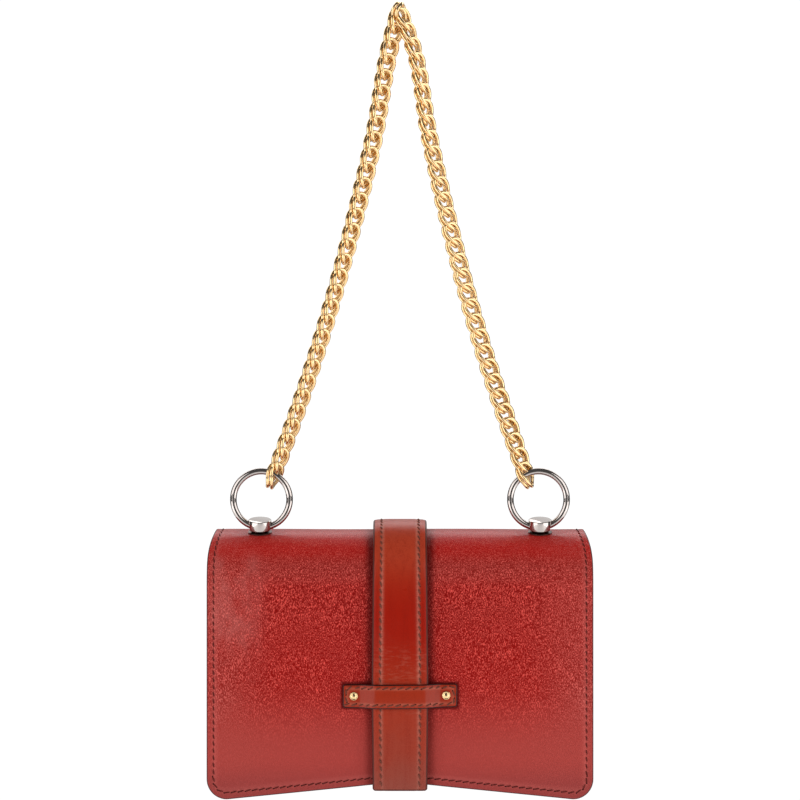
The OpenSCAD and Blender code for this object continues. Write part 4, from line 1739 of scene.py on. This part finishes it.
@dataclass
class Case:
    """Front panel, folded sides, bottom and the cloth sack between them."""

    body: Body
    finishes: Wardrobe
    stitching: Stitching
    seam_margin: float = 6.0
    flange: float = 4.0
    fold: float = 5.0
    leather: float = 1.5
    cloth: float = 0.6
    fit: float = 0.05
    front_inset: float = 1.0
    front_thick: float = 1.45
    stitch_inset: float = 3.2
    stitch_pitch: float = 3.65
    turned_share: float = 0.85
    turned_fit: float = 0.02
    sack_fit: float = 0.85
    sack_thick: float = 0.55
    sack_slack: float = 0.5
    sack_w: float = 190.0
    pocket_w: float = 120.0
    pocket_h: float = 62.0
    pocket_up: float = 22.0
    pocket_gap: float = 2.0
    roof_depth: float = 2.32
    roof_to: float = 118.0

    def place_front(self, u: float, v: float, inset: float, depth: float) -> np.ndarray:
        """Finds a point of the front panel.

        Args:
            u: Share across, from -1 to 1.
            v: Share up, from 0 to 1.
            inset: How far inside the outline.
            depth: How deep below the outer face.

        Returns:
            The point, in millimetres.
        """
        b = self.body
        w = b.half_w - self.front_inset
        low = b.body_z + self.front_inset
        x = u * (w - inset)
        z0 = b.edge_z(x, low, low, inset, w)
        z = z0 + (b.mouth_z - inset - z0) * v
        bulge = 0.54 * math.cos(math.pi * x / (2 * w)) * math.sin(math.pi * v)
        dip = 0.8 * bell(x, 0, 60) * v ** 4
        near = min(w - abs(x), z - z0)
        furrow = 0.2 * bell(near, self.stitch_inset, 0.8) if depth < FACE_DEPTH else 0.0
        return np.array((x, b.front_y - bulge + depth + furrow, z - dip))

    def front(self) -> Pieces:
        """Builds the front panel behind the flap, with its stitches.

        Returns:
            The pieces.
        """
        f = self.finishes
        w = self.body.half_w - self.front_inset
        rows = rows_for((0, 0.1, 8), (0.12, 0.96, 34), (0.97, 1, 4))
        sheet = Panel("front_leather", self.place_front, columns_for(w, 3.0), rows, self.front_thick, 0.4)
        panel = sheet.build(f.red, f.dark_edge, f.red)
        dress(panel, Slot.RED_LEATHER, Rides.BAG, "front_panel", "front_board")
        route = [
            *((-1.0, v) for v in np.linspace(1, 0, 30)),
            *((u, 0.0) for u in columns_for(w, 4.0)),
            *((1.0, v) for v in np.linspace(0, 1, 30)),
        ]
        path = np.array([self.place_front(u, v, self.stitch_inset, 0.0) for u, v in route])
        facing = np.tile((0.0, -1.0, 0.0), (len(path), 1))
        seams = self.stitching.sew("front_seam", path, facing, self.stitch_pitch, f.dark_thread)
        for piece in seams:
            dress(piece, Slot.RED_LEATHER, Rides.BAG)
        return [panel, *seams]

    def _fold_line(self, share: float, height: float) -> tuple[float, float]:
        """Point of a side panel's outer face across its depth.

        Args:
            share: 0 at the front, 1 at the back.
            height: 0 at the bottom, 1 at the mouth.

        Returns:
            X and Y.
        """
        b = self.body
        x_seam = b.half_w - self.seam_margin
        y = b.front_in_y + (b.back_in_y - b.front_in_y) * share
        t = abs(share - 0.5) * 2
        deep = self.fold * (0.75 + 0.25 * height)
        bend = 1 - math.sqrt(t * t + 0.02) / math.sqrt(1.02)
        soft = 0.21 * math.sin(height * 5.1 + share * 4.0) * (1 - t * t)
        return x_seam - deep * bend * 1.08 + soft, y

    def _side_line(self, u: float, height: float, depth: float) -> tuple[float, float]:
        """Outline of the right side panel seen from above: its turned edges and the fold.

        Args:
            u: Share along the outline, from the front edge at -1 to the back edge at 1.
            height: 0 at the bottom, 1 at the mouth.
            depth: How deep below the outer face.

        Returns:
            X and Y.
        """
        b = self.body
        flat = self.turned_share
        if abs(u) > flat:
            x, _ = self._fold_line(0.0 if u < 0 else 1.0, height)
            x_edge = b.half_w - self.seam_margin + self.flange
            inward = self.leather - depth
            y = b.front_in_y + inward if u < 0 else b.back_in_y - inward
            return x + (x_edge - x) * (abs(u) - flat) / (1 - flat), y
        edge = self.leather / (b.back_in_y - b.front_in_y)
        share = edge + (u / flat + 1) / 2 * (1 - 2 * edge)
        x, y = self._fold_line(share, height)
        return x - depth, y

    def side_panel(self, side: Side) -> bpy.types.Object:
        """Builds one folded side panel.

        Args:
            side: Which side.

        Returns:
            The panel.
        """
        b, f = self.body, self.finishes
        z0 = b.bottom_z + self.leather + self.fit
        flat = self.turned_share

        def place(u: float, v: float, inset: float, depth: float) -> np.ndarray:
            """Finds a point of the side panel, with u along its outline and v upwards."""
            x, y = self._side_line(u * (1 - inset / 40), v, depth)
            return np.array((side.value * x, y, z0 + inset + (b.mouth_z - z0 - 2 * inset) * v))

        columns = list(np.round(rows_for((-1, -flat, 6), (-flat, flat, 33), (flat, 1, 6)), 4))
        rows = rows_for((0, 1, 40))
        sheet = Panel(f"side_{side.word}", place, columns, rows, self.leather - self.fit, 0.35)
        panel = sheet.build(f.red, f.dark_edge, f.lining)
        dress(panel, Slot.RED_LEATHER, Rides.BAG, f"gusset_{side.word}")
        return panel

    def place_bottom(self, u: float, v: float, inset: float, depth: float) -> np.ndarray:
        """Finds a point of the bottom, which sags a little between its turned edges.

        Args:
            u: Share across, from -1 to 1.
            v: Share of the way from the front edge, under the bag, to the back edge.
            inset: How far inside the outline.
            depth: How deep above the lower face.

        Returns:
            The point, in millimetres.
        """
        b = self.body
        y0, y1 = b.front_in_y + self.turned_fit, b.back_in_y - self.turned_fit
        deep, legs = y1 - y0, self.flange
        total = deep + 2 * legs
        d = inset + (total - 2 * inset) * v
        if d < legs:
            y, z = y0 + depth, b.bottom_z - legs + d
        elif d > total - legs:
            y, z = y1 - depth, b.bottom_z - legs + (total - d)
        else:
            share = (d - legs) / deep
            y = min(max(y0 + deep * share, y0 + depth), y1 - depth)
            z = b.bottom_z + depth - 0.3 * math.sin(math.pi * share) * math.cos(math.pi * u / 2)
        half = b.half_w - self.seam_margin
        if legs <= d <= total - legs:
            half = self._fold_line(held((y - y0) / deep), 0.0)[0]
        return np.array((u * (half - inset), y, z))

    def bottom(self) -> bpy.types.Object:
        """Builds the bottom.

        Returns:
            The bottom.
        """
        f = self.finishes
        deep = self.body.back_in_y - self.body.front_in_y - 2 * self.turned_fit
        n = self.flange / (deep + 2 * self.flange)
        front = ((0, n - 0.004, 5), (n + 0.002, n + 0.03, 4))
        middle = (n + 0.05, 1 - n - 0.05, 22)
        back = ((1 - n - 0.03, 1 - n - 0.002, 4), (1 - n + 0.004, 1, 5))
        columns = list(np.linspace(-1, 1, 61))
        rows = rows_for(*front, middle, *back)
        sheet = Panel("bottom_leather", self.place_bottom, columns, rows, self.leather - self.fit, 0.3, 2)
        made = sheet.build(f.red, f.dark_edge, f.lining)
        dress(made, Slot.RED_LEATHER, Rides.BAG, "bottom_panel")
        return made

    def _hoop(self, height: float, inward: float) -> list[tuple[float, float]]:
        """Outline of the sack at a height, from the right front corner round to the front.

        Args:
            height: 0 at the bottom, 1 at the mouth.
            inward: How far inside the sack's outer face.

        Returns:
            X and Y of its points.
        """
        y_front = self.body.front_in_y + self.sack_fit
        y_back = self.body.back_in_y - self.sack_fit
        right = []
        for share in np.linspace(0, 1, 15):
            x, _ = self._fold_line(share, height)
            y = y_front + (y_back - y_front) * share
            y = min(max(y, y_front + inward), y_back - inward)
            right.append((x - self.leather - 0.1 - inward, y))
        left = [(-x, y) for x, y in right[::-1]]
        slack = self.sack_slack * math.sin(math.pi * height)
        walls = []
        for start, y, toward in ((right[-1][0], y_back, -1), (-right[0][0], y_front, 1)):
            for x in np.linspace(start, -start, 30)[1:-1]:
                walls.append((x, y + toward * (inward + slack * math.cos(math.pi * x / self.sack_w))))
        half = len(walls) // 2
        return [*right, *walls[:half], *left, *walls[half:]]

    def sack(self) -> bpy.types.Object:
        """Builds the cloth sack.

        Returns:
            The sack.
        """
        z0 = self.body.bottom_z + self.leather + 0.8
        tall = self.body.mouth_z - 0.2 - z0
        points: list[Point] = []
        faces: list[tuple[int, ...]] = []
        heights = np.linspace(0, 1, 24)
        for height in heights:
            points += [(x, y, z0 + tall * height) for x, y in self._hoop(height, 0.0)]
        for height in heights[::-1]:
            z = max(z0 + tall * height, z0 + self.cloth)
            points += [(x, y, z) for x, y in self._hoop(height, self.sack_thick)]
        layers = 2 * len(heights)
        size = len(points) // layers
        for k in range(layers - 1):
            here, there = k * size, (k + 1) * size
            for n in range(size):
                m = (n + 1) % size
                faces.append((here + n, here + m, there + m, there + n))
        faces.append(tuple(range(size))[::-1])
        faces.append(tuple((layers - 1) * size + n for n in range(size)))
        sack = mesh_from("sack", np.array(points), faces, None, [self.finishes.lining])
        dress(sack, Slot.LINING, Rides.BAG, "inner_lining", "bottom_board")
        return sack

    def pocket(self) -> bpy.types.Object:
        """Builds the pocket on the sack's back wall.

        Returns:
            The pocket.
        """
        cloth = self.finishes.lining
        low = self.body.bottom_z + self.pocket_up
        y0 = self.body.back_in_y - self.sack_fit - self.pocket_gap

        def place(u: float, v: float, inset: float, depth: float) -> np.ndarray:
            """Finds a point of the pocket.

            Args:
                u: Share across, from -1 to 1.
                v: Share up, from 0 to 1.
                inset: How far inside the outline.
                depth: How deep below the outer face.

            Returns:
                The point, in millimetres.
            """
            x = u * (self.pocket_w / 2 - inset)
            z = low + inset + (self.pocket_h - 2 * inset) * v
            slack = 0.7 * math.cos(math.pi * u / 2) * v ** 2 + 0.3 * math.sin(math.pi * v)
            return np.array((x, y0 - slack + depth, z))

        columns = list(np.linspace(-1, 1, 31))
        sheet = Panel("pocket_cloth", place, columns, rows_for((0, 1, 16)), self.cloth, 0.2, 2)
        pocket = sheet.build(cloth, cloth, cloth)
        dress(pocket, Slot.LINING, Rides.BAG, "slip_pocket")
        return pocket

    def roof(self) -> bpy.types.Object:
        """Builds the cloth under the roll.

        Returns:
            The cloth.
        """
        b, f = self.body, self.finishes
        half = b.half_w - self.seam_margin - self.leather - 0.3

        def place(u: float, v: float, inset: float, depth: float) -> np.ndarray:
            """Finds a point of the cloth.

            Args:
                u: Share across, from -1 to 1.
                v: Share of the way from the back over to the front.
                inset: How far inside the outline.
                depth: How deep below the outer face.

            Returns:
                The point, in millimetres.
            """
            start = b.mouth_z - b.roll_z + inset
            end = math.radians(self.roof_to) * b.roll_r - inset
            y, z, _, _ = b.profile(start + (end - start) * v, self.roof_depth + depth, b.roll_r)
            return np.array((u * (half - inset), y, z))

        columns = list(np.linspace(-1, 1, 81))
        rows = rows_for((0, 0.1, 6), (0.11, 1, 40))
        sheet = Panel("roof_cloth", place, columns, rows, self.sack_thick, 0.2, 2)
        roof = sheet.build(f.lining, f.dark_edge, f.lining)
        dress(roof, Slot.LINING, Rides.BAG, "roof_lining")
        return roof

    def build(self) -> Pieces:
        """Builds every piece of the case.

        Returns:
            The pieces.
        """
        made = self.front()
        made += [self.side_panel(side) for side in Side]
        made += [self.bottom(), self.sack(), self.pocket(), self.roof()]
        return made


@dataclass(frozen=True)
class Leg:
    """One leg of the chain, from the top down, with its links' roll and lean in degrees."""

    side: Side
    knots: tuple[Point, ...]
    rolls: tuple[float, ...]
    leans: tuple[float, ...]


@dataclass
class Chain:
    """Doubled curb chain in two legs that meet at the highest link."""

    finishes: Wardrobe
    repeat: Repeat
    link_w: float = 10.6
    link_l: float = 15.0
    wire: float = 1.92
    spread: float = 1.22
    twist: float = -30.0
    links: int = 31
    top_drop: float = 4.2
    top_turn: float = 68.0
    turns_at_shares: tuple[float, ...] = (0.0, 0.2, 0.42, 0.56, 0.8, 1.0)
    legs: tuple[Leg, ...] = (
        Leg(
            Side.LEFT,
            (
                (-1.9, 0, -9.3), (-5.2, 0, -22.0), (-13.6, 0, -69.2), (-26.8, 0, -124.2),
                (-42.5, 0, -179.2), (-58.4, 0, -226.4), (-66.1, 0, -247.6),
            ),
            rolls=(-45.0, -45.0, -46.0, -55.0, -58.0, -60.0),
            leans=(-8.0, -8.0, -8.0, -10.0, -8.0, 0.0),
        ),
        Leg(
            Side.RIGHT,
            (
                (1.9, 0, -9.3), (6.6, 0, -22.0), (15.5, 0, -69.2), (28.2, 0, -124.2),
                (43.2, 0, -179.2), (58.8, 0, -226.4), (65.9, 0, -247.4),
            ),
            rolls=(-58.0, -58.0, -48.0, -45.0, -38.0, -50.0),
            leans=(0.0, 2.0, 16.0, 20.0, 8.0, 0.0),
        ),
    )

    def unit(self) -> bpy.types.Object:
        """Makes one doubled link, long along X: two ovals side by side, twisted together.

        Returns:
            The unit, kept out of the render.
        """
        r = self.wire / 2
        a, b = self.link_w / 2 - r, self.link_l / 2 - r
        lines = []
        for off in (-r * self.spread, r * self.spread):
            line = []
            for t in np.linspace(0, 2 * math.pi, 36, endpoint=False):
                along = b * math.sin(t)
                across = a * math.cos(t)
                turn = math.radians(self.twist) * along / b
                c, s = math.cos(turn), math.sin(turn)
                line.append((along, across * c - off * s, across * s + off * c))
            lines.append(np.array(line))
        made = tube_mesh("link_unit", lines, r, 10, True)
        made.hide_render = True
        return made

    def _path(self, knots: Sequence[Point]) -> np.ndarray:
        """Smooth line through a leg's knots.

        Args:
            knots: The knots, in millimetres.

        Returns:
            The line.
        """
        k = np.array(knots)
        t = np.concatenate([[0], np.cumsum(np.linalg.norm(np.diff(k, axis=0), axis=1))])
        slope = np.gradient(k, t, axis=0)
        out = []
        for i in range(len(k) - 1):
            h = t[i + 1] - t[i]
            for s in np.linspace(0, 1, 24, endpoint=i == len(k) - 2):
                out.append(
                    k[i] * (2 * s**3 - 3 * s**2 + 1) + slope[i] * h * (s**3 - 2 * s**2 + s)
                    + k[i + 1] * (-2 * s**3 + 3 * s**2) + slope[i + 1] * h * (s**3 - s**2)
                )
        return np.array(out)

    def _hang(self, leg: Leg, unit: bpy.types.Object) -> bpy.types.Object:
        """Builds one leg.

        Args:
            leg: The leg's run.
            unit: The link that it repeats.

        Returns:
            The leg.
        """
        path = self._path(leg.knots)
        shares = np.linspace(0, 1, len(path))
        roll, lean = (
            np.radians(np.interp(shares, self.turns_at_shares, turns)) for turns in (leg.rolls, leg.leans)
        )
        facing = np.tile((0.0, -1.0, 0.0), (len(path), 1))
        name = f"chain_{leg.side.word}"
        made = self.repeat.along(name, path, facing, unit, self.links, self.finishes.gold, roll, lean)
        dress(made, Slot.GOLD, Rides.CHAIN, f"{name}_leg")
        return made

    def _top(self, unit: bpy.types.Object) -> bpy.types.Object:
        """Builds the highest link.

        Args:
            unit: The link that it copies.

        Returns:
            The link.
        """
        mesh = unit.data.copy()
        down = Matrix.Translation((0, 0, -self.top_drop * MM))
        turn = Matrix.Rotation(math.radians(self.top_turn), 4, "Z")
        mesh.transform(down @ turn @ Matrix.Rotation(math.pi / 2, 4, "X"))
        mesh.materials.clear()
        mesh.materials.append(self.finishes.gold)
        top = to_object("top_link", mesh)
        dress(top, Slot.GOLD, Rides.HANG_LINK, "chain_top_link")
        return top

    def build(self) -> Pieces:
        """Builds the highest link and both legs.

        Returns:
            The pieces.
        """
        unit = self.unit()
        made = [*(self._hang(leg, unit) for leg in self.legs), self._top(unit)]
        bpy.data.objects.remove(unit)
        return made


@dataclass(frozen=True)
class Hardware:
    """How a hard CAD node is shown: its finish, and the width of its soft corners."""

    node: str
    piece: str
    finish: bpy.types.Material
    bevel: float
    slot: Slot
    rides: Rides = Rides.BAG


@dataclass
class Fittings:
    """Rings, posts, washers and nuts, the snap and the burrs."""

    finishes: Wardrobe
    ring_x: float = 72.6
    ring_z: float = -260.17
    ring_r: float = 14.75
    wire_r: float = 1.75
    merge: float = 0.003
    flat_within: float = 0.4
    corner_from: float = 32.0

    def ring(self, side: Side) -> bpy.types.Object:
        """Builds a ring.

        Args:
            side: Which side.

        Returns:
            The ring.
        """
        x, r = side.value * self.ring_x, self.ring_r
        angles = np.linspace(0, 2 * math.pi, 120, endpoint=False)
        line = np.array([(x + r * math.cos(a), 0.0, self.ring_z + r * math.sin(a)) for a in angles])
        made = tube_mesh(f"ring_wire_{side.word}", [line], self.wire_r, 24, True)
        made.data.materials.append(self.finishes.silver)
        rides = Rides.RING_LEFT if side is Side.LEFT else Rides.RING_RIGHT
        dress(made, Slot.SILVER, rides, f"ring_{side.word}")
        return made

    def softened(self, node: bpy.types.Object, part: Hardware) -> bpy.types.Object:
        """Copies a hard CAD node with merged points, soft corners and a finish.

        Args:
            node: The CAD node.
            part: How it is shown.

        Returns:
            The copy, which stands for the node.
        """
        work = bmesh.new()
        work.from_mesh(node.data)
        bmesh.ops.remove_doubles(work, verts=work.verts, dist=self.merge * MM)
        limit = math.radians(self.flat_within)
        bmesh.ops.dissolve_limit(work, angle_limit=limit, verts=work.verts, edges=work.edges)
        mesh = bpy.data.meshes.new(part.piece)
        work.to_mesh(mesh)
        work.free()
        mesh.materials.append(part.finish)
        mesh.polygons.foreach_set("use_smooth", np.ones(len(mesh.polygons), bool))
        made = to_object(part.piece, mesh)
        soft = made.modifiers.new("corners", "BEVEL")
        soft.width = part.bevel * MM
        soft.segments = 3
        soft.limit_method = "ANGLE"
        soft.angle_limit = math.radians(self.corner_from)
        soft.harden_normals = True
        dress(made, part.slot, part.rides, part.node)
        return made

    def hardware(self) -> list[Hardware]:
        """Lists the hard nodes: posts with washers and nuts, the snap and the burrs.

        Returns:
            How each is shown.
        """
        silver, dark, snap = self.finishes.silver, self.finishes.dark_steel, self.finishes.snap
        parts = []
        for word in (side.word for side in Side):
            parts += [
                Hardware(f"post_{word}", f"drum_post_{word}", silver, 0.22, Slot.SILVER),
                Hardware(f"post_washer_{word}", f"washer_{word}", dark, 0.1, Slot.DARK_STEEL),
                Hardware(f"post_nut_{word}", f"nut_{word}", dark, 0.15, Slot.DARK_STEEL),
            ]
        halves = (("snap_female", Rides.BAG), ("snap_male", Rides.FLAP))
        for node, rides in halves:
            parts.append(Hardware(node, f"{node}_half", snap, 0.2, Slot.SNAP_METAL, rides))
        for node, rides in halves:
            disc = f"{node}_plate"
            parts.append(Hardware(disc, f"{disc}_disc", dark, 0.08, Slot.DARK_STEEL, rides))
        parts.append(Hardware("rivet_burrs", "rivet_burrs_disc", dark, 0.08, Slot.GOLD, Rides.FLAP))
        return parts

    def build(self, nodes: dict[str, bpy.types.Object]) -> Pieces:
        """Builds every fitting.

        Args:
            nodes: The CAD nodes by name.

        Returns:
            The pieces.
        """
        rings = [self.ring(side) for side in Side]
        return [*rings, *(self.softened(nodes[part.node], part) for part in self.hardware())]


@dataclass(frozen=True)
class Softbox:
    """Area lamp: its place, width and height in millimetres, and its power in watts."""

    name: str
    at: Point
    size: tuple[float, float]
    power: float


@dataclass
class Studio:
    """Pale floor, soft lamps, cards for the reflections, and the camera."""

    finishes: Wardrobe
    camera_z: float = -208.1
    distance: float = 1500.0
    view_w: float = 419.3
    sensor: float = 36.0
    far: float = 100.0
    floor_half: float = 2200.0
    floor_z: float = -760.0
    seen_sky: float = 1.05
    lit_sky: float = 0.11
    aim: Point = (0, 0, -300)
    lamps: tuple[Softbox, ...] = (
        Softbox("top lamp", (0, 520, 300), (1500, 440), 4.9),
        Softbox("left lamp", (-960, -640, -120), (1300, 1360), 10.7),
        Softbox("right lamp", (960, -640, -120), (1300, 1360), 11.0),
    )
    card_at: Point = (760, -460, -262)
    card_size: tuple[float, float] = (700, 150)
    backdrop_at: Point = (0, 620, 160)
    backdrop_size: tuple[float, float] = (1300, 520)

    def build(self) -> None:
        """Builds the studio."""
        self._floor()
        self._camera()
        self._sky()
        for lamp in self.lamps:
            self._lamp(lamp)
        x, y, z = self.card_at
        for side in Side:
            self._card(f"{side.word} card", (side.value * x, y, z), self.card_size, self.finishes.black)
        self._card("backdrop", self.backdrop_at, self.backdrop_size, self.finishes.backdrop)
        scene = bpy.context.scene
        scene.view_settings.view_transform = "Standard"
        scene.view_settings.look = "None"

    def _floor(self) -> None:
        """Builds the floor under the hanging bag."""
        half, z = self.floor_half, self.floor_z
        points = np.array([(-half, -half, z), (half, -half, z), (half, half, z), (-half, half, z)])
        floor = mesh_from("floor", points, [(0, 1, 2, 3)], None, [self.finishes.paper])

    def _camera(self) -> None:
        """Builds the camera, level and square to the front."""
        data = bpy.data.cameras.new("camera")
        data.sensor_width = self.sensor
        data.lens = self.sensor * self.distance / self.view_w
        data.clip_end = self.far
        camera = bpy.data.objects.new("camera", data)
        camera.location = (0.0, -self.distance * MM, self.camera_z * MM)
        camera.rotation_euler = (math.pi / 2, 0.0, 0.0)
        bpy.context.scene.collection.objects.link(camera)
        bpy.context.scene.camera = camera

    def _sky(self) -> None:
        """Builds an even white world, bright behind the object and dim as a light."""
        world = bpy.data.worlds.new("studio")
        bpy.context.scene.world = world
        world.use_nodes = True
        tree = world.node_tree
        tree.nodes.clear()
        path = tree.nodes.new("ShaderNodeLightPath")
        mix = tree.nodes.new("ShaderNodeMixShader")
        out = tree.nodes.new("ShaderNodeOutputWorld")
        for slot, strength in ((1, self.lit_sky), (2, self.seen_sky)):
            white = tree.nodes.new("ShaderNodeBackground")
            white.inputs["Color"].default_value = (1.0, 1.0, 1.0, 1.0)
            white.inputs["Strength"].default_value = strength
            tree.links.new(white.outputs[0], mix.inputs[slot])
        tree.links.new(path.outputs["Is Camera Ray"], mix.inputs[0])
        tree.links.new(mix.outputs[0], out.inputs["Surface"])

    def _card(self, name: str, at: Point, size: tuple[float, float], material: bpy.types.Material) -> None:
        """Builds an upright card that only reflections show.

        Args:
            name: Its name.
            at: Its middle, in millimetres.
            size: Its width and height, in millimetres.
            material: Its finish.
        """
        away = math.hypot(at[0], at[1])
        across = Vector((-at[1], at[0], 0)) / away * size[0] / 2
        up = Vector((0, 0, size[1] / 2))
        middle = Vector(at)
        corners = [middle - across - up, middle + across - up, middle + across + up, middle - across + up]
        card = mesh_from(name, np.array(corners), [(0, 1, 2, 3)], None, [material])
        card.visible_camera = card.visible_diffuse = card.visible_shadow = False

    def _lamp(self, box: Softbox) -> None:
        """Builds one softbox.

        Args:
            box: Its place, size and power.
        """
        data = bpy.data.lights.new(box.name, "AREA")
        data.shape = "RECTANGLE"
        data.size, data.size_y = box.size[0] * MM, box.size[1] * MM
        data.energy = box.power
        lamp = bpy.data.objects.new(box.name, data)
        lamp.location = Vector(box.at) * MM
        toward = Vector(self.aim) - Vector(box.at)
        lamp.rotation_euler = toward.to_track_quat("-Z", "Y").to_euler()
        bpy.context.scene.collection.objects.link(lamp)


def main() -> None:
    """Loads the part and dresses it."""
    logging.basicConfig(level=logging.INFO, format="%(name)s: %(message)s")
    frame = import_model()
    finishes = Wardrobe()
    repeat = Repeat("copies along a path")
    fine, bold = Stitching(repeat, finishes), Stitching(repeat, finishes, thread_r=0.38, slant=21.0)
    body = Body()
    Studio(finishes).build()
    pieces: Pieces = []
    pieces += Wrap(body, finishes, fine).build()
    pieces += Strap(body, finishes, bold).build()
    pieces += Keeper(body, finishes, bold).build()
    pieces += Case(body, finishes, fine).build()
    pieces += Chain(finishes, repeat).build()
    pieces += Fittings(finishes).build(frame["nodes"])
    fine.clear()
    bold.clear()
    for piece in pieces:
        LOG.info("piece %s", piece.name)


if __name__ == "__main__":
    main()
